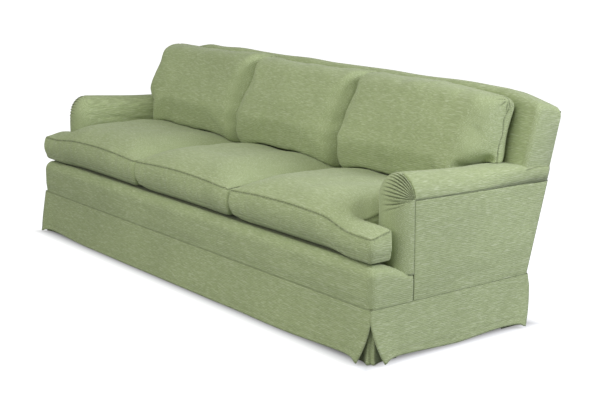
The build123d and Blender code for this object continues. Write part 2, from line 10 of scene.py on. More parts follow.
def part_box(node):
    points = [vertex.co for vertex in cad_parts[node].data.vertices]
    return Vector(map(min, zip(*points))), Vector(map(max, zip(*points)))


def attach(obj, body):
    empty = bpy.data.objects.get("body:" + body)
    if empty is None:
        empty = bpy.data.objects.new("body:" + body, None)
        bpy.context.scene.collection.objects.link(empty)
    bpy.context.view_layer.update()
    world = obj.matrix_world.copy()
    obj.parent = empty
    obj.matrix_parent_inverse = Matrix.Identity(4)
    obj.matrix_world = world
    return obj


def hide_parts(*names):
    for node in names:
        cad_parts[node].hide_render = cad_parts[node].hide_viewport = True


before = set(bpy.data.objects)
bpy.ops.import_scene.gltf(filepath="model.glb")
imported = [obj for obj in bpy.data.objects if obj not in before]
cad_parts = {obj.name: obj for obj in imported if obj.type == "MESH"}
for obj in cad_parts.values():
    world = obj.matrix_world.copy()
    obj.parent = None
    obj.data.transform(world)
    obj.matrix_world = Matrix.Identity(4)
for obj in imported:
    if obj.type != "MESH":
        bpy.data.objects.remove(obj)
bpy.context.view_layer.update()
scene = bpy.context.scene
scene.view_settings.view_transform = "Standard"
print("stage: frame loaded")

# sizes that several pieces share, in metres and the lean in degrees, the same as in the part's source
sofa = {
    "half": 1.185,
    "frontY": -0.44258,
    "rearY": 0.29842,
    "skirtSeam": 0.190,
    "deck": 0.3373,
    "joint": 0.347333,
    "armIn": 1.042,
    "armOut": 1.187,
    "backThick": 0.1303,
    "lean": 15.8,
}
leanSin = math.sin(math.radians(sofa["lean"]))
leanCos = math.cos(math.radians(sofa["lean"]))


def stack(x, y, z):
    return np.stack(np.broadcast_arrays(x, y, z), -1)


def onBack(x, rise, out):
    # a point on the leaning back: along, up the slope, out from the outside back
    y = sofa["rearY"] + rise * leanSin - out * leanCos
    return stack(x, y, sofa["skirtSeam"] + rise * leanCos + out * leanSin)


def toBack(points):
    # the other way round: along, up the slope, out
    dy = points[:, 1] - sofa["rearY"]
    dz = points[:, 2] - sofa["skirtSeam"]
    return points[:, 0], dy * leanSin + dz * leanCos, dz * leanSin - dy * leanCos


def backY(z, out):
    # how far back the lean is at a height
    rise = (z - sofa["skirtSeam"] - out * leanSin) / leanCos
    return sofa["rearY"] + rise * leanSin - out * leanCos


# camera at the photograph's viewing angle
cameraSet = {
    "place": (4.3459, -3.13538, 1.5082),
    "yaw": 52.8101,
    "pitch": 12.7423,
    "roll": -0.1429,
    "lens": 78.3825,
}


def makeCamera():
    yaw, pitch, roll = (math.radians(cameraSet[k]) for k in ("yaw", "pitch", "roll"))
    ahead = Vector((-math.sin(yaw) * math.cos(pitch), math.cos(yaw) * math.cos(pitch), -math.sin(pitch)))
    right = Vector((math.cos(yaw), math.sin(yaw), 0))
    up = right.cross(ahead)
    right, up = right * math.cos(roll) + up * math.sin(roll), up * math.cos(roll) - right * math.sin(roll)
    data = bpy.data.cameras.new("camera")
    data.lens = cameraSet["lens"]
    data.sensor_width = 36
    data.sensor_fit = "HORIZONTAL"
    data.clip_end = 60
    camera = bpy.data.objects.new("camera", data)
    turn = Matrix((right, up, -ahead)).transposed().to_4x4()
    camera.matrix_world = Matrix.Translation(cameraSet["place"]) @ turn
    scene.collection.objects.link(camera)
    scene.camera = camera


makeCamera()
print("stage: camera set")


# small helpers for meshes
def coordsOf(obj):
    flat = np.empty(len(obj.data.vertices) * 3)
    obj.data.vertices.foreach_get("co", flat)
    return flat.reshape(-1, 3)


def setCoords(obj, points):
    obj.data.vertices.foreach_set("co", np.ascontiguousarray(points, dtype=np.float64).ravel())
    obj.data.update()


def normalsOf(obj):
    flat = np.empty(len(obj.data.vertices) * 3)
    obj.data.vertex_normals.foreach_get("vector", flat)
    return flat.reshape(-1, 3)


def setMask(obj, name, values):
    found = obj.data.attributes.get(name) or obj.data.attributes.new(name, "FLOAT", "POINT")
    found.data.foreach_set("value", np.ascontiguousarray(values, dtype=np.float32))


def getMask(obj, name):
    values = np.zeros(len(obj.data.vertices), np.float32)
    found = obj.data.attributes.get(name)
    if found:
        found.data.foreach_get("value", values)
    return values.astype(float)


def addCreaseShade(obj, marks):
    # painted shade in the cloth's folds and seams, kept as a mark for the material
    setMask(obj, "creaseShade", np.maximum(getMask(obj, "creaseShade"), marks))


def newPiece(name, points, faces):
    data = bpy.data.meshes.new(name)
    data.from_pydata([tuple(float(c) for c in p) for p in points], [], faces)
    data.update()
    obj = bpy.data.objects.new(name, data)
    scene.collection.objects.link(obj)
    data.polygons.foreach_set("use_smooth", [True] * len(data.polygons))
    return obj


def applyMods(obj):
    graph = bpy.context.evaluated_depsgraph_get()
    data = bpy.data.meshes.new_from_object(obj.evaluated_get(graph))
    data.polygons.foreach_set("use_smooth", [True] * len(data.polygons))
    obj.modifiers.clear()
    obj.data = data


def addMod(obj, kind, **values):
    mod = obj.modifiers.new(kind.lower(), kind)
    for key, value in values.items():
        setattr(mod, key, value)
    return mod


def thicken(obj, thickness):
    # gives a cloth its thickness, inwards from its face
    addMod(obj, "SOLIDIFY", thickness=thickness, offset=-1)
    applyMods(obj)


def gridFaces(rows, cols, wrap=False):
    faces = []
    for row in range(rows - 1):
        for col in range(cols if wrap else cols - 1):
            a = row * cols + col
            b = row * cols + (col + 1) % cols
            faces.append((a, b, b + cols, a + cols))
    return faces


def gridPiece(name, points, flip=False):
    # points is rows x cols x 3
    faces = gridFaces(*points.shape[:2])
    if flip:
        faces = [f[::-1] for f in faces]
    return newPiece(name, points.reshape(-1, 3), faces)


def grid(first, second):
    return np.meshgrid(first, second, indexing="ij")


def faceOut(obj, outward):
    if np.dot(normalsOf(obj).mean(0), outward) < 0:
        obj.data.flip_normals()


def meanOf(obj):
    # gives a function that takes a value per point to the mean of its neighbours' values
    edges = np.empty(len(obj.data.edges) * 2, np.int32)
    obj.data.edges.foreach_get("vertices", edges)
    a, b = edges.reshape(-1, 2).T
    count = len(obj.data.vertices)
    degree = np.bincount(a, minlength=count) + np.bincount(b, minlength=count)
    return lambda values: (np.bincount(a, values[b], count) + np.bincount(b, values[a], count)) / degree


def relax(obj, rounds, pull=0.5, hold=None):
    # evens the mesh out: each point goes part of the way to the middle of its neighbours
    points = coordsOf(obj)
    mean = meanOf(obj)
    weight = pull if hold is None else pull * (1 - hold)[:, None]
    for _ in range(rounds):
        middle = np.stack([mean(points[:, axis]) for axis in range(3)], 1)
        points = points + (middle - points) * weight
    setCoords(obj, points)


def ripple(points, wave, seed, parts=6):
    # soft, repeatable unevenness; wave is its length and its height
    length, height = wave
    rng = np.random.default_rng(seed)
    total = np.zeros(len(points))
    for _ in range(parts):
        way = rng.normal(size=3)
        way /= np.linalg.norm(way)
        turn = 2 * math.pi / (length * rng.uniform(0.7, 1.5))
        total += np.sin(points @ way * turn + rng.uniform(0, 2 * math.pi))
    return total / math.sqrt(parts) * height


def ease(value, low, high):
    t = np.clip((np.asarray(value, float) - low) / (high - low), 0, 1)
    return t * t * (3 - 2 * t)


def bell(value, width):
    # 1 at nought, falling away on both sides over about the width
    return np.exp(-(value / width) ** 2)


def rounded(value, power=2.0):
    # quarter of an ellipse from 0 to 1, fuller with a higher power
    t = np.clip(value, 0, 1)
    return (1 - (1 - t) ** power) ** (1 / power)


def treeOf(obj):
    points = [Vector(p) for p in coordsOf(obj)]
    return BVHTree.FromPolygons(points, [tuple(p.vertices) for p in obj.data.polygons])


def nearPath(points, path, reach):
    # distance of each point to a dense path, and the nearest path number
    kd = KDTree(len(path))
    for number, place in enumerate(path):
        kd.insert(Vector(place), number)
    kd.balance()
    low = path.min(0) - reach
    high = path.max(0) + reach
    far = np.full(len(points), 9.0)
    nearest = np.zeros(len(points), int)
    for number in np.flatnonzero(((points > low) & (points < high)).all(1)):
        _, index, distance = kd.find(Vector(points[number]))
        far[number] = distance
        nearest[number] = index
    return far, nearest


def evenPath(path, step, closed=True):
    line = np.vstack([path, path[:1]]) if closed else path
    run = np.concatenate([[0], np.cumsum(np.linalg.norm(np.diff(line, axis=0), axis=1))])
    count = max(4, int(run[-1] / step))
    at = np.linspace(0, run[-1], count, endpoint=not closed)
    return np.stack([np.interp(at, run, line[:, axis]) for axis in range(line.shape[1])], 1)


def onSurface(path, tree, smoothing=6, closed=True):
    line = path.copy()
    for turn in range(smoothing + 1):
        for number, place in enumerate(line):
            hit = tree.find_nearest(Vector(place))
            if hit[0] is not None:
                line[number] = hit[0]
        if turn < smoothing:
            middle = (np.roll(line, 1, 0) + np.roll(line, -1, 0)) / 2
            if not closed:
                middle[0], middle[-1] = line[0], line[-1]
            line = line * 0.5 + middle * 0.5
    return line


def sewSeam(obj, path, depth, width, dark=0.8, darkWidth=0.003):
    # a sewn line: the cloth sinks along the path, and shade is painted along the crease by a mark for the
    # material
    points = coordsOf(obj)
    far, _ = nearPath(points, path, width * 3)
    setCoords(obj, points - normalsOf(obj) * (depth * bell(far, width))[:, None])
    addCreaseShade(obj, dark * bell(far, darkWidth))


stitchSet = {"radius": 0.00055, "stitch": 0.0065, "gap": 0.003, "off": 0.004, "step": 0.0011, "sides": 5}


def stitchLine(name, path, tree):
    # a row of small stitches beside a seam, lying on the cloth
    s = stitchSet
    radius, sides = s["radius"], s["sides"]
    line = evenPath(path, s["step"])
    points, faces = [], []
    step = int(round((s["stitch"] + s["gap"]) / s["step"]))
    length = int(round(s["stitch"] / s["step"]))
    for start in range(0, len(line) - length, step):
        run = line[start:start + length + 1]
        ahead = run[-1] - run[0]
        size = np.linalg.norm(ahead)
        if size < s["stitch"] * 0.5:
            continue
        ahead /= size
        hit = tree.find_nearest(Vector(run[length // 2]))
        out = np.array(hit[1])
        across = np.cross(ahead, out)
        across /= np.linalg.norm(across) + 1e-9
        first = len(points)
        for end, share in ((0, 0.35), (1, 1.0), (length // 2, 1.15), (length - 1, 1.0), (length, 0.35)):
            place = tree.find_nearest(Vector(run[end] + across * s["off"]))
            centre = np.array(place[0]) + np.array(place[1]) * radius * (share - 0.4)
            for number in range(sides):
                angle = 2 * math.pi * number / sides
                points.append(centre + radius * share * (across * math.cos(angle) + out * math.sin(angle)))
        faces += [tuple(first + i for i in f) for f in gridFaces(5, sides, wrap=True)]
        faces.append(tuple(first + number for number in reversed(range(sides))))
        faces.append(tuple(first + 4 * sides + number for number in range(sides)))
    return newPiece(name, points, faces)


# shader node helpers
def makeGroup(name, inputs, outputs):
    tree = bpy.data.node_groups.new(name, "ShaderNodeTree")
    for label, kind, value in inputs:
        socket = tree.interface.new_socket(label, in_out="INPUT", socket_type="NodeSocket" + kind)
        socket.default_value = value
    for label, kind in outputs:
        tree.interface.new_socket(label, in_out="OUTPUT", socket_type="NodeSocket" + kind)
    return tree, tree.nodes.new("NodeGroupInput"), tree.nodes.new("NodeGroupOutput")


def addNode(tree, kind, links=None, **values):
    made = tree.nodes.new("ShaderNode" + kind)
    for key, value in values.items():
        setattr(made, key, value)
    for key, value in (links or {}).items():
        socket = made.inputs[key]
        if isinstance(value, bpy.types.NodeSocket):
            tree.links.new(value, socket)
        else:
            socket.default_value = value
    return made


def mathNode(tree, how, a, b=0.0):
    return addNode(tree, "Math", {0: a, 1: b}, operation=how).outputs[0]


def rangeNode(tree, value, fromLow, fromHigh, toLow=0.0, toHigh=1.0, smooth=False):
    links = {"Value": value, "From Min": fromLow, "From Max": fromHigh, "To Min": toLow, "To Max": toHigh}
    kind = "SMOOTHSTEP" if smooth else "LINEAR"
    return addNode(tree, "MapRange", links, interpolation_type=kind).outputs["Result"]


def mixColor(tree, factor, a, b):
    return addNode(tree, "Mix", {0: factor, 6: a, 7: b}, data_type="RGBA").outputs[2]


def mixValue(tree, factor, a, b):
    return addNode(tree, "Mix", {0: factor, 2: a, 3: b}, data_type="FLOAT").outputs[0]


def putOut(tree, result, **sockets):
    for label, socket in sockets.items():
        tree.links.new(socket, result.inputs[label])


def brighten(tree, color, value):
    return addNode(tree, "HueSaturation", {"Color": color, "Value": value}).outputs["Color"]


def stretchedNoise(tree, coords, scale, detail=2.0, roughness=0.55):
    mapped = addNode(tree, "Mapping", {"Vector": coords, "Scale": scale})
    noise = addNode(tree, "TexNoise", {"Vector": mapped.outputs[0], "Scale": 1.0, "Detail": detail,
                                       "Roughness": roughness})
    return noise.outputs["Fac"]


# woven upholstery: fine ribs along the run, pale slub streaks, soft patches, and painted shade in creases
def makeSlubWeave():
    tree, given, result = makeGroup(
        "slubWeave",
        [("Cloth", "Color", (0.35, 0.41, 0.22, 1)), ("Slub", "Color", (0.6, 0.66, 0.45, 1)),
         ("Crease", "Color", (0.1, 0.12, 0.05, 1)), ("Streak", "Float", 0.4), ("Ribs", "Float", 960.0),
         ("Run", "Float", 0.0)],
        [("Color", "Color"), ("Height", "Float"), ("Roughness", "Float")])
    place = addNode(tree, "TexCoord").outputs["Object"]
    normal = addNode(tree, "NewGeometry").outputs["Normal"]
    sideways = mathNode(tree, "ABSOLUTE", addNode(tree, "SeparateXYZ", {0: normal}).outputs[0])
    turn = mathNode(tree, "MAXIMUM", rangeNode(tree, sideways, 0.6, 0.8, smooth=True), given.outputs["Run"])
    fine = mixValue(tree, turn, stretchedNoise(tree, place, (60, 620, 620)),
                    stretchedNoise(tree, place, (620, 60, 620)))
    slub = mixValue(tree, turn, stretchedNoise(tree, place, (28, 420, 420), 1.0),
                    stretchedNoise(tree, place, (420, 28, 420), 1.0))
    cross = mixValue(tree, turn, stretchedNoise(tree, place, (700, 90, 90), 1.0),
                     stretchedNoise(tree, place, (90, 700, 90), 1.0))
    patch = addNode(tree, "TexNoise", {"Vector": place, "Scale": 4.0, "Detail": 3.0}).outputs["Fac"]
    # ribs lie along the run, so they are counted across it
    parts = addNode(tree, "SeparateXYZ", {0: place}).outputs
    inward = mathNode(tree, "MULTIPLY", mathNode(tree, "ABSOLUTE", parts[0]), -1.0)
    across = mathNode(tree, "ADD", parts[2], mixValue(tree, turn, parts[1], inward))
    across = mathNode(tree, "MULTIPLY", across, given.outputs["Ribs"])
    wander = mathNode(tree, "MULTIPLY", fine, 3.0)
    wander = mathNode(tree, "ADD", wander, mathNode(tree, "MULTIPLY", patch, 5.0))
    rib = mathNode(tree, "SINE", mathNode(tree, "ADD", across, wander))
    color = brighten(tree, given.outputs["Cloth"], rangeNode(tree, fine, 0.3, 0.7, 0.83, 1.16))
    color = brighten(tree, color, rangeNode(tree, rib, -1.0, 1.0, 0.90, 1.10))
    streak = rangeNode(tree, slub, 0.50, 0.68, smooth=True)
    streak = mathNode(tree, "MULTIPLY", streak, given.outputs["Streak"])
    color = mixColor(tree, streak, color, given.outputs["Slub"])
    color = brighten(tree, color, rangeNode(tree, patch, 0.3, 0.7, 0.95, 1.05))
    # painted shade: the crease mark darkens the cloth in its folds and seams
    mark = addNode(tree, "Attribute", attribute_name="creaseShade").outputs["Fac"]
    color = mixColor(tree, mark, color, given.outputs["Crease"])
    height = fine
    for layer, share in ((slub, 0.6), (cross, 0.5), (rib, 0.4)):
        height = mathNode(tree, "ADD", height, mathNode(tree, "MULTIPLY", layer, share))
    putOut(tree, result, Color=color, Height=height, Roughness=rangeNode(tree, fine, 0.2, 0.8, 0.92, 0.78))
    return tree


# plain open weave for jute, hessian, lining and twine
def makeOpenWeave():
    tree, given, result = makeGroup(
        "openWeave",
        [("Thread", "Color", (0.4, 0.3, 0.16, 1)), ("Gap", "Color", (0.12, 0.08, 0.04, 1)),
         ("Threads", "Float", 500.0)],
        [("Color", "Color"), ("Height", "Float")])
    place = addNode(tree, "TexCoord").outputs["Object"]
    parts = addNode(tree, "SeparateXYZ", {0: place}).outputs
    waves = []
    for axis in range(3):
        turned = mathNode(tree, "MULTIPLY", parts[axis], given.outputs["Threads"])
        waves.append(mathNode(tree, "ABSOLUTE", mathNode(tree, "SINE", turned)))
    weave = mathNode(tree, "MAXIMUM", mathNode(tree, "MULTIPLY", waves[0], waves[1]), waves[2])
    uneven = addNode(tree, "TexNoise", {"Vector": place, "Scale": 60.0, "Detail": 3.0}).outputs["Fac"]
    weave = mathNode(tree, "MULTIPLY", weave, rangeNode(tree, uneven, 0.3, 0.7, 0.7, 1.1))
    color = mixColor(tree, rangeNode(tree, weave, 0.05, 0.7), given.outputs["Gap"], given.outputs["Thread"])
    putOut(tree, result, Color=color, Height=weave)
    return tree


# timber grain, stretched along the length of the sofa
def makeTimberGrain():
    tree, given, result = makeGroup(
        "timberGrain",
        [("Light", "Color", (0.6, 0.42, 0.25, 1)), ("Dark", "Color", (0.4, 0.25, 0.13, 1)),
         ("Fleck", "Float", 0.5)],
        [("Color", "Color"), ("Height", "Float"), ("Roughness", "Float")])
    place = addNode(tree, "TexCoord").outputs["Object"]
    rings = stretchedNoise(tree, place, (4, 40, 40), 4.0, 0.6)
    pores = stretchedNoise(tree, place, (60, 700, 700), 2.0, 0.6)
    color = mixColor(tree, rangeNode(tree, rings, 0.35, 0.65, smooth=True), given.outputs["Dark"],
                     given.outputs["Light"])
    fleck = mathNode(tree, "MULTIPLY", rangeNode(tree, pores, 0.58, 0.7), given.outputs["Fleck"])
    color = mixColor(tree, fleck, color, given.outputs["Dark"])
    putOut(tree, result, Color=color, Height=mathNode(tree, "SUBTRACT", rings, fleck),
           Roughness=rangeNode(tree, pores, 0.3, 0.7, 0.45, 0.62))
    return tree


# handling marks on metal and plastic
def makeHandledSurface():
    tree, given, result = makeGroup(
        "handledSurface",
        [("Clean", "Color", (0.5, 0.5, 0.5, 1)), ("Dull", "Color", (0.3, 0.28, 0.25, 1)),
         ("Scale", "Float", 90.0)],
        [("Color", "Color"), ("Height", "Float"), ("Roughness", "Float")])
    place = addNode(tree, "TexCoord").outputs["Object"]
    cloud = addNode(tree, "TexNoise", {"Vector": place, "Scale": given.outputs["Scale"], "Detail": 4.0})
    marks = rangeNode(tree, cloud.outputs["Fac"], 0.4, 0.7, smooth=True)
    putOut(tree, result, Color=mixColor(tree, marks, given.outputs["Clean"], given.outputs["Dull"]),
           Height=cloud.outputs["Fac"], Roughness=rangeNode(tree, marks, 0, 1, 0.3, 0.55))
    return tree


slubWeave = makeSlubWeave()
openWeave = makeOpenWeave()
timberGrain = makeTimberGrain()
handledSurface = makeHandledSurface()


def makeMaterial(name, tree, values, bump, distance, **fixed):
    # values go to the group, and what is fixed goes to the shader
    mat = bpy.data.materials.new(name)
    mat.use_nodes = True
    nodes = mat.node_tree
    shader = nodes.nodes["Principled BSDF"]
    group = nodes.nodes.new("ShaderNodeGroup")
    group.node_tree = tree
    for key, value in values.items():
        group.inputs[key].default_value = value
    nodes.links.new(group.outputs["Color"], shader.inputs["Base Color"])
    if "Roughness" in group.outputs:
        nodes.links.new(group.outputs["Roughness"], shader.inputs["Roughness"])
    lift = addNode(nodes, "Bump", {"Height": group.outputs["Height"], "Strength": bump, "Distance": distance})
    nodes.links.new(lift.outputs[0], shader.inputs["Normal"])
    for key, value in fixed.items():
        shader.inputs[key.replace("_", " ")].default_value = value
    return mat


clothSet = {
    "Cloth": (0.343, 0.406, 0.211, 1),
    "Slub": (0.60, 0.66, 0.45, 1),
    # the colour painted into folds and seams as their shade
    "Crease": (0.065, 0.076, 0.032, 1),
    "Streak": 0.42,
}


def makeCloth(name, run):
    return makeMaterial(name, slubWeave, dict(clothSet, Run=run), 0.35, 0.0012, Sheen_Weight=0.12,
                        Sheen_Roughness=0.5, Specular_IOR_Level=0.2)


# plain weaves: colour of thread and gap, threads, bump and its depth, roughness
weaveSet = {
    "deckLining": ((0.15, 0.165, 0.10, 1), (0.08, 0.09, 0.05, 1), 1500.0, 0.3, 0.0005, 0.9),
    "dustCloth": ((0.035, 0.035, 0.035, 1), (0.015, 0.015, 0.015, 1), 1800.0, 0.3, 0.0004, 0.9),
    "juteCloth": ((0.42, 0.30, 0.16, 1), (0.14, 0.09, 0.045, 1), 900.0, 0.6, 0.001, 0.92),
    "threadCloth": ((0.30, 0.35, 0.19, 1), (0.2, 0.24, 0.12, 1), 4000.0, 0.2, 0.0002, 0.7),
}


def makeWeave(name):
    thread, gap, threads, bump, depth, roughness = weaveSet[name]
    values = {"Thread": thread, "Gap": gap, "Threads": threads}
    return makeMaterial(name, openWeave, values, bump, depth, Roughness=roughness)


coverCloth = makeCloth("coverCloth", 0.0)
armCloth = makeCloth("armCloth", 1.0)
liningCloth, dustCloth, juteCloth, threadCloth = (makeWeave(name) for name in weaveSet)
beechWood = makeMaterial("beechWood", timberGrain,
                         {"Light": (0.62, 0.44, 0.27, 1), "Dark": (0.46, 0.29, 0.16, 1)}, 0.15, 0.0006)
stainedWood = makeMaterial("stainedWood", timberGrain,
                           {"Light": (0.13, 0.06, 0.03, 1), "Dark": (0.06, 0.028, 0.014, 1)}, 0.12, 0.0005,
                           Coat_Weight=0.25)
springSteel = makeMaterial("springSteel", handledSurface,
                           {"Clean": (0.45, 0.44, 0.42, 1), "Dull": (0.24, 0.2, 0.16, 1)}, 0.1, 0.0003,
                           Metallic=1.0)
glideNylon = makeMaterial("glideNylon", handledSurface,
                          {"Clean": (0.05, 0.045, 0.04, 1), "Dull": (0.09, 0.085, 0.08, 1)}, 0.1, 0.0003)
print("stage: materials made")


def dress(obj, mat, body, *nodes, slot="cover_cloth"):
    # its cloth, the body that it moves with and the CAD nodes that it stands for
    obj.data.materials.clear()
    obj.data.materials.append(mat)
    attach(obj, body)
    if nodes:
        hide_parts(*nodes)
    return obj


# back: one leaning padded slab with sloped shoulders and its own outside panel
backSet = {
    "rise": 0.658,
    "foot": 0.128,
    "shoulderAt": 0.996,
    "shoulderDrop": 0.042,
    "shoulderBend": 0.014,
    "front": 0.130,
    "rear": 0.0035,
    "frontRound": 0.036,
    "rearRound": 0.016,
    "endRound": 0.022,
    "half": 1.182,
    "cols": 170,
    "wave": (0.22, 0.0016),
    "panelThick": 0.0028,
    "panelFoot": 0.004,
    "panelInset": 0.006,
    "panelTop": 0.010,
    "panelWave": (0.3, 0.0007),
}


# arms: the cloth runs along the roll, turns round a hub in a fan of pleats and goes down the nose
armSet = {
    "hubY": -0.2586,
    "seamFront": 0.546,
    "seamSlope": 0.022,
    "topFront": {-1: 0.637, 1: 0.626},
    "topSlope": {-1: 0.084, 1: 0.060},
    "rearPower": 5.0,
    "tailPower": 9.0,
    "tailGap": 0.006,
    "tailCols": 14,
    "backGap": 0.0008,
    "noseDepth": {-1: 0.070, 1: 0.065},
    "noseFoot": 0.288,
    "pleats": 9,
    "lowPleats": 3,
    "lowReach": 0.075,
    "lowCols": 34,
    "pleatSteps": 12,
    "pleatDepth": 0.0078,
    "pleatSlant": 0.3,
    "creaseShadeWidth": 0.13,
    "fanFade": (0.30, 0.64),
    "lowFade": (0.26, 0.58),
    "tuck": 0.0028,
    "rearTuck": 0.003,
    "endCreaseShade": (0.0006, 0.0012),
    "thick": 0.003,
    "wallWave": (0.05, 0.0011),
    "sideWave": (0.16, 0.0012),
    "topWave": (0.2, 0.001),
    "rollCols": 70,
    "downCols": 26,
    "rows": 44,
}


def armSeam(y):
    return armSet["seamFront"] - armSet["seamSlope"] * (y - armSet["hubY"])


def makeArm(side, label):
    s = armSet
    middle = (sofa["armIn"] + sofa["armOut"]) / 2
    half = (sofa["armOut"] - sofa["armIn"]) / 2
    share = np.linspace(0, 1, s["rows"])
    topFront, topSlope, noseDepth = s["topFront"][side], s["topSlope"][side], s["noseDepth"][side]

    def section(power):
        # half an ellipse over the arm, squarer with a higher power
        along = np.cos(math.pi * share)
        up = np.maximum(np.sin(math.pi * share), 0)
        return middle + half * np.sign(along) * np.abs(along) ** (2 / power), up ** (2 / power)

    def pleat(part, fade):
        # how deep the fold is at this part of a pleat, and how much shade is painted into its crease
        depth = s["pleatDepth"] * fade * (1 - part ** 1.5)
        return depth, bell(np.minimum(part, 1 - part), s["creaseShadeWidth"]) * np.sqrt(fade)

    columns = []
    folds = []
    # over the end of the back, from its rear seam, with painted shade at that seam and along the line where
    # the two meet
    front = sofa["backThick"] - s["backGap"]
    for part in np.linspace(0, 1, s["tailCols"], endpoint=False):
        x, rise = section(s["tailPower"] + (s["rearPower"] - s["tailPower"]) * ease(part, 0.4, 1.0))
        y = np.full(s["rows"], 0.3)
        for _ in range(3):
            seam = armSeam(y)
            z = seam + (topFront - topSlope * (y - s["hubY"]) - seam) * rise
            y = backY(z, s["tailGap"] + part * (front - s["tailGap"]))
        columns.append(np.stack([x - (s["rearTuck"] if part == 0 else 0), y, z], 1))
        meet, width = s["endCreaseShade"]
        folds.append(np.where(x > middle, bell(x - backSet["half"] - meet, width), 0) * 0.6)
    folds[0][:] = 0.7
    # along the roll, from the back to the hub
    for step in np.linspace(1, 0, s["rollCols"], endpoint=False):
        x, rise = section(2 + (s["rearPower"] - 2) * ease(step, 0.5, 1.0))
        y = np.full(s["rows"], s["hubY"])
        for _ in range(3):
            seam = armSeam(y)
            top = topFront - topSlope * np.maximum(y - s["hubY"], 0)
            z = seam + (top - seam) * rise
            y = s["hubY"] + step * (backY(z, front) - s["hubY"])
        columns.append(np.stack([x, y, z], 1))
        folds.append(np.zeros(s["rows"]))
    # round the hub, in pleats
    x, rise = section(2)
    steps = s["pleats"] * s["pleatSteps"]
    height = topFront - s["seamFront"]
    fanFade = ease(share, 0.0, 0.05) * (1 - ease(share, *s["fanFade"]))
    lowFade = ease(share, 0.0, 0.05) * (1 - ease(share, *s["lowFade"]))
    for number in range(steps + 1):
        angle = math.pi / 2 * number / steps
        place = number / s["pleatSteps"]
        part = place - math.floor(place) if number < steps else 1.0
        depth, creaseShade = pleat(part, fanFade)
        y = s["hubY"] - math.sin(angle) * rise * (noseDepth - depth)
        z = s["seamFront"] + math.cos(angle) * rise * (height - depth)
        columns.append(np.stack([x - depth * s["pleatSlant"], y, z], 1))
        folds.append(creaseShade * (0 < number < steps))
    # down the nose, where the last pleats run out below the hub
    low = s["seamFront"] - s["lowReach"]
    levels = np.concatenate([np.linspace(s["seamFront"], low, s["lowCols"]),
                             np.linspace(low, s["noseFoot"], s["downCols"])[1:]])[1:]
    y = s["hubY"] - rise * noseDepth
    run = np.concatenate([[0], np.cumsum(np.hypot(np.diff(x), np.diff(y)))])
    for level in levels:
        place = np.arctan2(s["seamFront"] - level, run + 1e-6) / (math.pi / 2 / s["pleats"])
        part = place - np.floor(place)
        depth, creaseShade = pleat(part, lowFade * (1 - ease(place, 0.6, s["lowPleats"])))
        columns.append(stack(x - depth * s["pleatSlant"], y + depth * rise, level))
        folds.append(creaseShade)
    points = np.array(columns)
    folds = np.array(folds)
    # the outer edge is turned under at the seam, with painted shade along that seam line
    tuck = points[:, :1].copy()
    tuck[..., 0] -= s["tuck"]
    straight = s["tailCols"] + s["rollCols"]
    tuck[:straight, :, 2] += 0.001
    points = np.concatenate([tuck, points], 1)
    folds = np.concatenate([folds[:, :1] * 0 + 0.8, folds], 1)
    folds[:, 1] = np.maximum(folds[:, 1], 0.2)
    cols = points.shape[1]
    faces = gridFaces(len(points), cols)
    # the inside wall, from the roll down to the deck, level with the nose's own rows
    wall = []
    drop = s["seamFront"] - s["noseFoot"]
    for column in points[s["tailCols"]:straight]:
        edge = column[-1]
        for level in levels:
            z = edge[2] + (level - s["seamFront"]) * (edge[2] - s["noseFoot"]) / drop
            y = min(edge[1], backY(z, front)) if edge[1] > 0 else edge[1]
            wall.append((edge[0], y, z))
    wall = np.array(wall).reshape(s["rollCols"], len(levels), 3)
    hub = np.array([[points[straight, -1][0], s["hubY"], level] for level in levels])
    wall = np.concatenate([wall, hub[None]], 0)
    top = points[s["tailCols"]:straight + 1, -1:]
    wall = np.concatenate([top, wall], 1)
    first = points.shape[0] * cols
    allPoints = np.concatenate([points.reshape(-1, 3), wall.reshape(-1, 3)])
    faces += [tuple(first + i for i in f) for f in gridFaces(*wall.shape[:2])]
    marks = np.concatenate([folds.ravel(), np.zeros(wall.shape[0] * wall.shape[1])])
    # pulled folds in the cloth: along the inside wall and the roll
    inner = ease(-(allPoints[:, 0] - sofa["armIn"]), -0.03, 0)
    waves = ripple(allPoints * np.array([1, 0.35, 1.9]), s["wallWave"], 11 + side) * inner
    waves += ripple(allPoints, s["sideWave"], 21 + side)
    allPoints[:, 0] += waves
    allPoints[:, 2] += ripple(allPoints, s["topWave"], 31 + side) * ease(allPoints[:, 2], 0.55, 0.6)
    if side < 0:
        allPoints[:, 0] *= -1
        faces = [f[::-1] for f in faces]
    arm = newPiece(label + "Arm", allPoints, [f[::-1] for f in faces])
    setMask(arm, "creaseShade", marks)
    addMod(arm, "WELD", merge_threshold=0.0004)
    thicken(arm, s["thick"])
    dress(arm, armCloth, "sofa", label + "_arm_cover", label + "_arm_padding")
    return arm


outsideArmSet = {
    "thick": 0.003,
    "tuck": 0.003,
    "height": 0.34,
    "stand": 0.0008,
    "swell": 0.0022,
    "wave": (0.11, 0.0008),
    "rows": 60,
    "cols": 100,
}


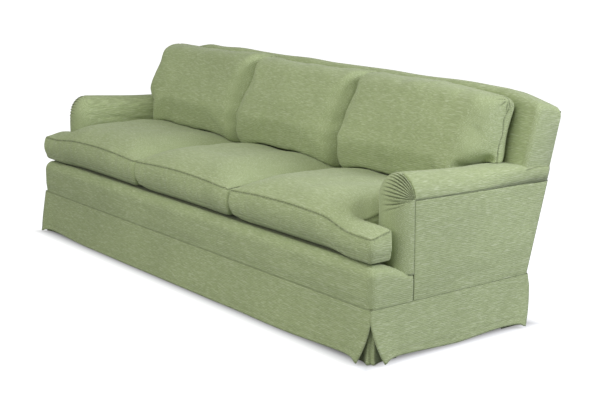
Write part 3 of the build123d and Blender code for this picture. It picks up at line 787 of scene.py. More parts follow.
def makeOutsideArm(side, label):
    s = outsideArmSet
    down, along = grid(np.linspace(0, 1, s["rows"]), np.linspace(0, 1, s["cols"]))
    start = armSet["hubY"] + 0.0015
    y = start + along * (0.36 - start)
    for _ in range(3):
        top = armSeam(y) - 0.0004
        z = top + down * (sofa["skirtSeam"] + 0.001 - top)
        y = start + along * (backY(z, 0.001) - start)
    points = np.stack([np.zeros_like(y), y, z], -1)
    toEnd = np.minimum(along, 1 - along) * (y.max() - start)
    edge = np.minimum(toEnd, np.minimum(down, 1 - down) * s["height"])
    x = sofa["half"] + s["stand"] + s["swell"] * ease(edge, 0, 0.1) - s["tuck"] * bell(edge, 0.004)
    soft = ripple(points.reshape(-1, 3) * np.array([1, 0.4, 1.6]), s["wave"], 41 + side)
    points[..., 0] = side * (x + soft.reshape(x.shape) * ease(edge, 0, 0.05))
    panel = gridPiece(label + "OutsideArm", points, flip=side < 0)
    # painted shade along the panel's seamed edges
    setMask(panel, "creaseShade", 0.8 * bell(edge.ravel(), 0.002))
    thicken(panel, s["thick"])
    dress(panel, coverCloth, "sofa", label + "_outside_arm")


arms = {}
for side, label in ((-1, "left"), (1, "right")):
    arms[label] = makeArm(side, label)
    makeOutsideArm(side, label)
print("stage: arms made")


def backTop(x):
    # the top line: level, then falling to each shoulder, with a soft bend
    past = np.abs(x) - backSet["shoulderAt"]
    soft = np.log1p(np.exp(past / backSet["shoulderBend"])) * backSet["shoulderBend"]
    return backSet["rise"] - soft * backSet["shoulderDrop"] / (backSet["half"] - backSet["shoulderAt"])


def makeBack():
    s = backSet
    ends = np.sort(s["half"] - s["endRound"] + s["endRound"] * np.sin(np.linspace(0, math.pi / 2, 8)))
    xs = np.concatenate([-ends[::-1], np.linspace(-ends[0], ends[0], s["cols"])[1:-1], ends])
    rows = []
    for x in xs:
        past = max(0.0, abs(x) - (s["half"] - s["endRound"])) / s["endRound"]
        inset = s["endRound"] * (1 - math.sqrt(max(0.0, 1 - past ** 2))) * 0.85
        top = float(backTop(x)) - inset
        front = s["front"] - inset
        rear = s["rear"]
        line = [(0.02, rear)]
        line += [(level, rear) for level in np.linspace(0.05, top - s["rearRound"], 22)]
        for angle in np.linspace(0, math.pi / 2, 6)[1:]:
            line.append((top - s["rearRound"] * (1 - math.sin(angle)),
                         rear + s["rearRound"] * (1 - math.cos(angle))))
        for angle in np.linspace(0, math.pi / 2, 10):
            line.append((top - s["frontRound"] * (1 - math.cos(angle)),
                         front - s["frontRound"] * (1 - math.sin(angle))))
        line += [(level, front) for level in np.linspace(top - s["frontRound"], s["foot"], 30)[1:]]
        line += [(s["foot"] - 0.02, front * 0.6)]
        line = np.array(line)
        rows.append(onBack(np.full(len(line), x), line[:, 0], line[:, 1]))
    points = np.array(rows)
    count = points.shape[1]
    faces = gridFaces(len(points), count, wrap=True)
    last = (len(points) - 1) * count
    faces += [tuple(range(count))[::-1], tuple(last + i for i in range(count))]
    flat = points.reshape(-1, 3)
    soft = ripple(flat, s["wave"], 51) * ease(toBack(flat)[1], 0.45, 0.6)
    flat = flat + onBack(np.zeros(len(flat)), soft, soft * 0.5) - onBack(0.0, 0.0, 0.0)
    back = newPiece("backSlab", flat, [f[::-1] for f in faces])
    dress(back, coverCloth, "sofa", "back_cover", "back_padding")


def makeOutsideBack():
    s = backSet
    along, up = grid(np.linspace(-1, 1, 150), np.linspace(0, 1, 46))
    half = s["half"] - s["panelInset"]
    x = along * half
    foot = s["panelFoot"]
    high = backTop(x) - s["panelTop"]
    rise = foot + up * (high - foot)
    edge = np.minimum(np.minimum(half - np.abs(x), rise - foot), high - rise)
    out = 0.0004 + 0.0012 * bell(edge, 0.006)
    flat = onBack(x, rise, out).reshape(-1, 3)
    soft = ripple(flat, s["panelWave"], 61).reshape(x.shape) * ease(edge, 0, 0.06)
    points = onBack(x, rise, out + np.abs(soft) * 0.5)
    panel = gridPiece("outsideBack", points)
    # painted shade along the panel's seamed edges
    setMask(panel, "creaseShade", 0.55 * bell(edge.ravel(), 0.004))
    thicken(panel, s["panelThick"])
    dress(panel, coverCloth, "sofa", "outside_back")


makeBack()
makeOutsideBack()
print("stage: back made")


# platform: the border under the cushions, round over its top, and the deck behind it
platformSet = {
    "top": 0.337,
    "round": 0.034,
    "corner": 0.022,
    "rearY": -0.2596,
    "inner": 0.098,
    "sideFall": 0.040,
    "fallFrom": -0.40,
    "puff": 0.0035,
    "wave": (0.17, 0.0010),
    "thick": 0.003,
    "deckThick": 0.006,
    "deckLap": 0.005,
    "deckSink": 0.0025,
    "deckWave": (0.25, 0.0008),
}


def platformLine(inset):
    # from the right arm forward, round the corner, along the front and back to the left arm
    s = platformSet
    half = sofa["half"] - inset
    front = sofa["frontY"] + inset
    bend = max(s["corner"] - inset, 0.0004)
    right = [(half, y) for y in np.linspace(s["rearY"], front + bend, 26)]
    for angle in np.linspace(0, math.pi / 2, 9)[1:]:
        right.append((half - bend + bend * math.cos(angle), front + bend - bend * math.sin(angle)))
    middle = [(x, front) for x in np.linspace(half - bend, -half + bend, 200)[1:-1]]
    left = [(-x, y) for x, y in right[::-1]]
    return np.array(right + middle + left)


def makePlatform():
    s = platformSet
    profile = [(0.004, sofa["skirtSeam"] - 0.004), (0.0, sofa["skirtSeam"] + 0.004)]
    profile += [(0.0, z) for z in np.linspace(sofa["skirtSeam"] + 0.012, s["top"] - s["round"], 16)]
    for angle in np.linspace(0, math.pi / 2, 9)[1:]:
        profile.append((s["round"] * (1 - math.cos(angle)), s["top"] - s["round"] * (1 - math.sin(angle))))
    profile += [(inset, s["top"]) for inset in np.linspace(s["round"], s["inner"], 10)[1:]]
    profile += [(s["inner"], s["top"] - 0.012)]
    rows = []
    for inset, z in profile:
        line = platformLine(inset)
        beside = ease(line[:, 1], s["fallFrom"], s["rearY"]) * (np.abs(line[:, 0]) > 1.0)
        share = (z - sofa["skirtSeam"]) / (s["top"] - sofa["skirtSeam"])
        level = z - s["sideFall"] * beside * max(share, 0)
        rows.append(np.column_stack([line, level]))
    points = np.array(rows)
    flat = points.reshape(-1, 3)
    up = ease(flat[:, 2], 0.2, 0.24)
    puff = s["puff"] * up * ease(0.34 - flat[:, 2], 0, 0.05)
    puff += ripple(flat * np.array([0.6, 1, 1.3]), s["wave"], 71) * up
    front = (flat[:, 1] < sofa["frontY"] + 0.03) & (np.abs(flat[:, 0]) < sofa["half"] - 0.01)
    flat[front, 1] -= puff[front]
    flat[~front, 0] += (np.sign(flat[:, 0]) * puff * 0.5)[~front]
    piece = newPiece("platformBorder", flat, gridFaces(*points.shape[:2]))
    # painted shade along the skirt's seam and in the gap under the cushions
    marks = np.zeros(points.shape[:2])
    marks[0] = 0.8
    marks[1] = 0.35
    marks[-11:] = 0.72
    setMask(piece, "creaseShade", marks.ravel())
    thicken(piece, s["thick"])
    dress(piece, coverCloth, "sofa", "platform_front", "front_edge_roll")


def makeDeck():
    s = platformSet
    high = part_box("platform_cloth")[1]
    front = sofa["frontY"] + s["inner"] - s["deckLap"]
    share, deep = grid(np.linspace(-1, 1, 170), np.linspace(front, high.y, 70))
    # the two front corners reach out under the border, in front of the arms
    corner = 1 - ease(deep, s["rearY"] - 0.02, s["rearY"])
    along = share * (high.x + (sofa["half"] - s["inner"] + s["deckLap"] - high.x) * corner)
    edge = np.minimum((1 - np.abs(share)) * high.x, np.minimum(deep - front, high.y - deep))
    soft = ripple(stack(along, deep, 0.0).reshape(-1, 3), s["deckWave"], 81).reshape(along.shape)
    z = sofa["deck"] - s["deckSink"] + np.minimum(soft, 0.0006) * ease(edge, 0, 0.05)
    z -= 0.006 * bell(edge, 0.006)
    z -= s["sideFall"] * ease(deep, s["fallFrom"], s["rearY"]) * (np.abs(along) > sofa["armIn"] + 0.001)
    piece = gridPiece("deckCover", stack(along, deep, z))
    # painted shade along the deck's edges, where it runs under the parts round it
    setMask(piece, "creaseShade", 0.5 * bell(edge.ravel(), 0.005))
    thicken(piece, s["deckThick"])
    dress(piece, liningCloth, "sofa", "platform_cloth", "deck_pad", slot="lining")


makePlatform()
makeDeck()
print("stage: platform made")


# skirt: four hung panels that flare to the floor, and the folded strip inside each kick pleat
skirtSet = {
    "top": 0.1965,
    "hem": 0.0125,
    "tipHem": 0.0085,
    "hemRise": 0.009,
    "flare": 0.024,
    "dip": 0.017,
    "tipFlare": 0.034,
    "thick": 0.003,
    "tipBack": 0.038,
    "leftTipBack": 0.010,
    "slit": 0.155,
    "stand": 0.0032,
    "hemFold": 0.022,
    "column": 0.011,
    "fall": 1.35,
    "wave": (0.24, 0.0016),
}


def hemOut(fromEnd):
    # how far the hem stands out, by the distance from the panel's end
    s = skirtSet
    body = s["flare"] - (s["flare"] - s["dip"]) * (1 - ease(fromEnd, 0.13, 0.40))
    return body + (s["tipFlare"] - s["dip"]) * (1 - ease(fromEnd, 0.0, 0.12)) ** 1.3


def makeSkirt(label, rail, half, place, seed):
    s = skirtSet
    count = int(half * 2 / s["column"])
    along, down = grid(np.linspace(-1, 1, count), np.linspace(0, 1, 30))
    fromEnd = (1 - np.abs(along)) * half
    hem = s["hem"] + s["hemRise"] * ease(fromEnd, 0.0, 0.05) * (1 - ease(fromEnd, 0.05, 0.42))
    hem -= (s["hem"] - s["tipHem"]) * (1 - ease(fromEnd, 0, 0.03))
    z = s["top"] + down * (hem - s["top"])
    out = s["stand"] + hemOut(fromEnd) * down ** s["fall"]
    opened = np.clip((s["slit"] - z) / s["slit"], 0, 1)
    tipBack = np.where((along < 0) & (label == "front"), s["leftTipBack"], s["tipBack"])
    tip = (s["stand"] + s["tipFlare"] * down ** s["fall"]) * (1 - opened) - tipBack * opened ** 1.1
    a = along * (half + tip)
    flat = stack(a, down * 0.05, 0.0).reshape(-1, 3)
    out += ripple(flat, s["wave"], seed).reshape(a.shape) * down ** 1.2 * ease(fromEnd, 0.02, 0.12)
    # a turned hem and the seam at the top, each a small dent with painted shade along it
    fold = z - hem - s["hemFold"]
    seam = s["top"] - z
    out = out - 0.0012 * bell(fold, 0.003) - 0.0016 * bell(seam, 0.004)
    points = place(a, out, z)
    panel = gridPiece(label + "Skirt", points)
    setMask(panel, "creaseShade", (0.30 * bell(fold, 0.0025) + 0.75 * bell(seam, 0.0035)).ravel())
    faceOut(panel, points[count // 2, 15] * np.array([1, 1, 0]))
    thicken(panel, s["thick"])
    dress(panel, coverCloth, "sofa", label + "_skirt")


rearSkirtY = backY(0.198, 0)
skirtMiddle = (sofa["frontY"] + rearSkirtY) / 2
skirtHalf = (rearSkirtY - sofa["frontY"]) / 2
skirts = (
    ("front", "front_rail", sofa["half"], lambda a, out, z: stack(a, sofa["frontY"] - out, z)),
    ("rear", "rear_rail", sofa["half"], lambda a, out, z: stack(a, rearSkirtY + out, z)),
    ("right", "right_side_rail", skirtHalf, lambda a, out, z: stack(sofa["half"] + out, skirtMiddle + a, z)),
    ("left", "left_side_rail", skirtHalf, lambda a, out, z: stack(-sofa["half"] - out, skirtMiddle + a, z)),
)
for number, (label, rail, half, place) in enumerate(skirts):
    makeSkirt(label, rail, half, place, 91 + number)

pleatSet = {
    "reach": 0.115,
    "hem": 0.0045,
    "top": 0.1885,
    "inset": 0.0035,
    "round": 0.020,
    "lift": 0.016,
    "liftAt": 0.016,
    "thick": 0.0024,
    "rows": 24,
    "cols": 61,
}


def makePleat(label, wayX, wayY):
    # a strip behind the two panels, bent round the corner, with its middle standing forward
    s = pleatSet
    cornerY, rail = (sofa["frontY"], "front_rail") if wayY > 0 else (rearSkirtY, "rear_rail")
    down, place = grid(np.linspace(0, 1, s["rows"]), np.linspace(-1, 1, s["cols"]))
    run = np.abs(place) * s["reach"]
    bend = s["round"] * bell(run, 0.018) * 0.30
    deep = s["inset"] + bend - s["lift"] * down * bell(run - s["liftAt"], 0.016)
    x = wayX * (sofa["half"] - deep - np.where(place < 0, run * 0.999, 0))
    y = cornerY + wayY * (deep + np.where(place < 0, 0, run * 0.999))
    piece = gridPiece(label + "Pleat", stack(x, y, s["top"] + down * (s["hem"] - s["top"])))
    faceOut(piece, (wayX, -wayY, 0.0))
    # painted shadow on the strip's sides, where the panels stand in front of it; its middle stays lighter
    setMask(piece, "creaseShade", 0.5 * ease(run.ravel(), 0.022, 0.05))
    thicken(piece, s["thick"])
    # one CAD node holds all four strips, and the first stands for it
    dress(piece, coverCloth, "sofa", *(["corner_pleats"] if label == "frontRight" else []))


for end, wayY in (("front", 1), ("rear", -1)):
    makePleat(end + "Right", 1, wayY)
    makePleat(end + "Left", -1, wayY)
print("stage: skirt made")


# outlines and filled forms
def drawnLoop(corners, bows, step=0.006, softness=10):
    # closed outline: each side is drawn in by its bow, and the corners are softened
    line = []
    for number, start in enumerate(corners):
        start = np.array(start, float)
        end = np.array(corners[(number + 1) % len(corners)], float)
        run = np.linalg.norm(end - start)
        left = np.array([-(end - start)[1], (end - start)[0]]) / run
        for share in np.linspace(0, 1, max(3, int(run / step)), endpoint=False):
            line.append(start + (end - start) * share + left * bows.get(number, 0) * 4 * share * (1 - share))
    line = np.array(line)
    for _ in range(softness):
        line = line * 0.5 + (np.roll(line, 1, 0) + np.roll(line, -1, 0)) * 0.25
    return evenPath(line, step)


def edgeDistance(points, loop):
    # how far each point is from the outline
    run = np.roll(loop, -1, 0) - loop
    size = (run ** 2).sum(1)
    found = []
    for part in np.array_split(points, max(1, len(points) // 1500)):
        away = part[:, None] - loop
        t = np.clip((away * run).sum(2) / size, 0, 1)
        found.append(np.linalg.norm(away - t[..., None] * run, axis=2).min(1))
    return np.concatenate(found)


def insideLoop(points, loop):
    # counts how often the outline is crossed on the way out to the right
    a, b = loop, np.roll(loop, -1, 0)
    y = points[:, 1:]
    spans = (a[:, 1] > y) != (b[:, 1] > y)
    cut = (b[:, 0] - a[:, 0]) * (y - a[:, 1]) / (b[:, 1] - a[:, 1] + 1e-12) + a[:, 0]
    return (spans & (points[:, :1] < cut)).sum(1) % 2 == 1


def evenGrid(low, high, spacing):
    axes = [np.arange(low[axis], high[axis], spacing) for axis in (0, 1)]
    return np.stack(np.meshgrid(*axes), -1).reshape(-1, 2)


def ringEdges(first, count):
    return [(first + i, first + (i + 1) % count) for i in range(count)]


def triangulate(groups, edges):
    made = delaunay_2d_cdt([Vector(p) for p in np.vstack(groups)], edges, [], 1, 1e-7)
    return np.array([tuple(v) for v in made[0]]), [tuple(f) for f in made[2]]


def filledForm(name, loop, rings, spacing, levels, bulge, place):
    # a closed form over an outline; levels gives its lower and upper surface, bulge its wall
    turn = np.roll(loop, -1, 0) - np.roll(loop, 1, 0)
    inward = np.stack([-turn[:, 1], turn[:, 0]], 1) / np.linalg.norm(turn, axis=1)[:, None]
    inner = []
    for ring in rings:
        moved = loop + inward * ring
        moved = moved[insideLoop(moved, loop)]
        inner.append(moved[edgeDistance(moved, loop) > ring * 0.92])
    inside = evenGrid(loop.min(0), loop.max(0), spacing)
    inside = inside[insideLoop(inside, loop)]
    inside = inside[edgeDistance(inside, loop) > rings[-1] + spacing * 0.5]
    count = len(loop)
    flat, triangles = triangulate([loop] + inner + [inside], ringEdges(0, count))
    edge = edgeDistance(flat, loop)
    edge[:count] = 0
    lower, upper = levels(flat, edge)
    total = len(flat)
    points = [np.column_stack([flat, upper]), np.column_stack([flat, lower])]
    faces = list(triangles) + [tuple(total + i for i in f[::-1]) for f in triangles]
    # the wall between the two surfaces
    rows = 6
    starts = [total]
    for row in range(1, rows):
        share = row / rows
        out = loop - inward * bulge * math.sin(math.pi * share)
        level = lower[:count] + (upper[:count] - lower[:count]) * share
        starts.append(sum(len(p) for p in points))
        points.append(np.column_stack([out, level]))
    starts.append(0)
    for a, b in zip(starts[:-1], starts[1:]):
        faces += [(a + i, a + (i + 1) % count, b + (i + 1) % count, b + i) for i in range(count)]
    return newPiece(name, place(np.vstack(points)), faces)


def puffUp(obj, pressure, cap, grow, frames=20):
    # cloth simulation with air pressure and no gravity; how far a point may move is capped
    rest = coordsOf(obj)
    mod = obj.modifiers.new("puff", "CLOTH")
    cloth = mod.settings
    cloth.use_pressure = True
    cloth.uniform_pressure_force = pressure
    cloth.effector_weights.gravity = 0
    cloth.shrink_min = -grow
    cloth.quality = 5
    mod.collision_settings.use_collision = False
    mod.point_cache.frame_start = 1
    mod.point_cache.frame_end = frames
    for number in range(1, frames + 1):
        scene.frame_set(number)
    change = coordsOf(obj.evaluated_get(bpy.context.evaluated_depsgraph_get())) - rest
    obj.modifiers.clear()
    scene.frame_set(1)
    size = np.linalg.norm(change, axis=1)[:, None]
    change *= cap * np.tanh(size / cap) / np.maximum(size, 1e-9)
    setCoords(obj, rest + change)


# small folds that run out from a sewn corner, with shade painted into each fold
def gatherCorner(obj, centre, axis, reach, count, depth, dark, turn=0.0):
    points = coordsOf(obj)
    away = points - centre
    size = np.linalg.norm(away, axis=1)
    axis = np.array(axis, float) / np.linalg.norm(axis)
    across = np.cross(axis, (0.3, 0.2, 1.0))
    across /= np.linalg.norm(across)
    other = np.cross(axis, across)
    angle = np.arctan2(away @ other, away @ across)
    wave = np.cos(angle * count + turn + 0.6 * np.sin(angle * 2 + turn))
    fold = np.maximum(0, wave) ** 4
    fall = ease(size, 0.004, 0.016) * (1 - ease(size, 0.3 * reach, reach))
    setCoords(obj, points - normalsOf(obj) * (depth * fold * fall)[:, None])
    addCreaseShade(obj, dark * fold ** 2 * fall)


# what seat and back cushions share
cushionSet = {
    "spare": 0.0022,
    "armClear": 0.003,
    "seamStep": 0.004,
    "seamWidth": 0.0045,
    "creaseShadeWidth": 0.0024,
    "grow": 0.006,
    "far": 9,
}


def cushionSpan(s, ear):
    # left and right side between the arms, then the same for the ends that reach beyond them
    middle = ear * 2 * sofa["joint"]
    left = middle - sofa["joint"] + (s["armGap"] if ear < 0 else s["gap"])
    right = middle + sofa["joint"] - (s["armGap"] if ear > 0 else s["gap"])
    return left, right, -s["reach"] if ear < 0 else left, s["reach"] if ear > 0 else right


def drawnSides(corners, least, bow):
    # every side longer than the least is drawn in a little
    ends = corners[1:] + corners[:1]
    return {n: bow for n, pair in enumerate(zip(corners, ends)) if math.dist(*pair) > least}


def keepBetween(x, ear, left, right, besideArm):
    # no further than its own place, and clear of the arm where it stands beside it
    low = left - cushionSet["spare"] if ear >= 0 else -cushionSet["far"]
    high = right + cushionSet["spare"] if ear <= 0 else cushionSet["far"]
    x = np.clip(x, low, high)
    if not ear:
        return x
    wall = sofa["armIn"] - cushionSet["armClear"]
    return np.where(besideArm, np.clip(x, -wall, wall), x)


def puffCushion(obj, s):
    puffUp(obj, s["pressure"], s["cap"], cushionSet["grow"])


def subdivide(obj):
    addMod(obj, "SUBSURF", levels=1, render_levels=1)
    applyMods(obj)


def seamCushion(obj, points, tree, smoothing, depth, dark):
    path = onSurface(evenPath(points, cushionSet["seamStep"]), tree, smoothing)
    sewSeam(obj, path, depth, cushionSet["seamWidth"], dark, cushionSet["creaseShadeWidth"])
    return path


def nearestOn(path, place):
    return path[np.linalg.norm(path - place, axis=1).argmin()]


def finishCushion(obj, label, part, path):
    stitches = stitchLine(label + part.title() + "Stitches", path, treeOf(obj))
    body = label + "_" + part
    dress(obj, coverCloth, body, body + "_cushion", body + "_fill")
    dress(stitches, threadCloth, body)


# seat cushions: boxed, crowned, and the end ones have an ear that runs round the front of the arm
seatSet = {
    "front": -0.4470,
    "rear": 0.1905,
    "edge": 0.466,
    "earEdge": {-1: 0.456, 0: 0.456, 1: 0.437},
    "earRise": 0.016,
    "armLift": 0.020,
    "earFoot": {-1: 0.6, 0: 0.0, 1: 0.75},
    "arch": 0.012,
    "crown": 0.052,
    "crownRun": 0.22,
    "rearShare": 0.60,
    "bulge": 0.011,
    "footLift": 0.034,
    "footRun": 0.075,
    "footTop": 0.385,
    "gap": 0.0030,
    "armGap": 0.0065,
    "reach": 1.180,
    "earDepth": 0.098,
    "drawIn": 0.006,
    "frontDraw": 0.002,
    "softness": 4,
    "rings": (0.003, 0.008, 0.016, 0.028),
    "spacing": 0.013,
    "pressure": 4.0,
    "cap": 0.007,
    "seamDepth": 0.0018,
    "fineWave": (0.12, 0.0013),
    "longWave": (0.28, 0.0024),
    "gathers": (0.045, 0.0013),
    "earBlend": (-0.14, 0.05),
    "earBack": (-0.33, -0.2),
    "archBack": (-0.35, 0.0),
    "earCrown": 0.35,
    "crownPower": 2.6,
    "armRear": -0.340,
}


def makeSeat(label, ear):
    s = seatSet
    left, right, outLeft, outRight = cushionSpan(s, ear)
    earRear = s["front"] + s["earDepth"]
    corners = [(outLeft, s["front"]), (outRight, s["front"])]
    if ear > 0:
        corners += [(outRight, earRear), (right, earRear)]
    corners += [(right, s["rear"]), (left, s["rear"])]
    if ear < 0:
        corners += [(left, earRear), (outLeft, earRear)]
    bows = drawnSides(corners, 0.3, s["drawIn"])
    bows[0] = s["frontDraw"]
    loop = drawnLoop(corners, bows, softness=s["softness"])

    def beyondArm(x, y):
        if not ear:
            return np.zeros(len(x))
        blend = ease(ear * x - sofa["armIn"], *s["earBlend"])
        return blend * (1 - ease(y, *s["earBack"]))

    def seamLevel(x, y):
        across = np.clip((x - left) / (right - left), 0, 1)
        arch = s["arch"] * np.sin(math.pi * across) ** 1.2 * (1 - ease(y, *s["archBack"]))
        level = s["edge"] + arch - (s["edge"] - s["earEdge"][ear]) * beyondArm(x, y)
        return level + s["earRise"] * beyondArm(x, y) * ease(y, s["front"], earRear)

    def crownAt(x, y):
        # every free edge pulls the crown down; the edge against the arm is pushed up
        runs = [y - s["front"], (s["rear"] - y) * s["rearShare"], x - outLeft, outRight - x]
        if ear:
            wall = abs(right if ear > 0 else left)
            beside = np.hypot(np.maximum(wall - ear * x, 0), np.maximum(earRear - y, 0))
            runs.append(s["armLift"] + 2.5 * beside)
        full = s["crown"] * (1 - s["earCrown"] * beyondArm(x, y))
        for run in runs:
            full = full * (1 - (1 - np.clip(run / s["crownRun"], 0, 1)) ** s["crownPower"])
        return full

    def levels(flat, edge):
        x, y = flat.T
        upper = seamLevel(x, y) + crownAt(x, y)
        lift = s["footLift"] * (1 - s["earFoot"][ear] * beyondArm(x, y))
        lower = sofa["deck"] + 0.003 + lift * (1 - np.clip(edge / s["footRun"], 0, 1)) ** 2
        return lower, upper

    seat = filledForm(label + "SeatCushion", loop, s["rings"], s["spacing"], levels, s["bulge"], lambda p: p)
    puffCushion(seat, s)
    relax(seat, 1)
    relax(seat, 4, hold=ease(coordsOf(seat)[:, 2], s["footTop"], s["footTop"] + 0.02))

    def keepIn():
        # inside its own place: beside the arm, in front of the back and on the deck
        points = coordsOf(seat)
        points[:, 0] = keepBetween(points[:, 0], ear, left, right, points[:, 1] > s["armRear"])
        points[:, 1] = np.minimum(points[:, 1], backY(points[:, 2], sofa["backThick"]) - 0.004)
        points[:, 2] = np.maximum(points[:, 2], sofa["deck"] + 0.0004)
        setCoords(seat, points)

    keepIn()
    subdivide(seat)
    points = coordsOf(seat)
    normals = normalsOf(seat)
    wave = ripple(points, s["fineWave"], 101 + ear) + ripple(points, s["longWave"], 111 + ear)
    wave *= ease(points[:, 2], 0.40, 0.46)
    # the front strip is gathered a little against the seam
    front = ease(-normals[:, 1], 0.45, 0.8) * ease(points[:, 2], 0.36, 0.40)
    wave += ripple(points * np.array([1, 0, 0.12]), s["gathers"], 151 + ear) * front
    setCoords(seat, points + normals * wave[:, None])
    tree = treeOf(seat)
    upper = seamLevel(*loop.T) + crownAt(*loop.T)
    lower = np.full(len(loop), sofa["deck"] + s["footLift"] + 0.004)
    path = seamCushion(seat, np.column_stack([loop, upper]), tree, 2, s["seamDepth"], 0.85)
    seamCushion(seat, np.column_stack([loop, lower]), tree, 2, s["seamDepth"], 0.2)
    if ear:
        corner = nearestOn(path, (ear * s["reach"], s["front"], s["earEdge"][ear]))
        gatherCorner(seat, corner, (ear, -1, 0.4), 0.045, 13, 0.0009, 0.35, 0.4)
    keepIn()
    finishCushion(seat, label, "seat", path)
    return seat


seats = {}
for ear, label in ((-1, "left"), (0, "middle"), (1, "right")):
    seats[label] = makeSeat(label, ear)
    print("stage:", label, "seat cushion made")


# back cushions: plump, loose, with one seam round the edge; the end ones reach over the arm
backCushionSet = {
    "low": 0.2345,
    "high": 0.6400,
    "rear": 0.1325,
    "seam": 0.196,
    "jointSeam": 0.166,
    "gap": 0.0030,
    "armGap": 0.0065,
    "reach": 1.106,
    "notch": 0.368,
    "cornerDrop": {-1: 0.008, 0: 0.0, 1: 0.028},
    "hollow": 0.011,
    "thickness": ((0.0, 0.168), (0.1, 0.199), (0.28, 0.219), (0.5, 0.211), (0.75, 0.187), (1.0, 0.160)),
    "leftRound": 0.032,
    "rightRound": 0.050,
    "endRound": {-1: 0.040, 0: 0.0, 1: 0.100},
    "endPower": {-1: 2.3, 0: 2.3, 1: 2.1},
    "endFall": 0.17,
    "endRun": 0.46,
    "topFall": 7,
    "armRound": 0.028,
    "topRound": 0.065,
    "footRound": 0.028,
    "drawIn": 0.007,
    "rings": (0.002, 0.005, 0.010, 0.018, 0.030, 0.045),
    "spacing": 0.016,
    "bulge": 0.001,
    "voxel": 0.008,
    "pressure": 4.0,
    "cap": 0.008,
    "seamDepth": 0.0020,
    "clear": 0.0016,
    "fineWave": (0.12, 0.0015),
    "longWave": (0.30, 0.0034),
    "seamWave": (0.08, 0.006),
    "seamHalf": 0.004,
    "edgeRound": 0.02,
    "rearEdge": 0.045,
    "capPower": 2.2,
    "notchBlend": (-0.03, 0.07),
    "hangBlend": (-0.13, 0.02),
    "hangRise": (-0.02, 0.20),
    "hangFrom": 0.15,
    "besideArm": 0.575,
    "footBand": 0.09,
    "hollowAt": (0.075, 0.028),
}


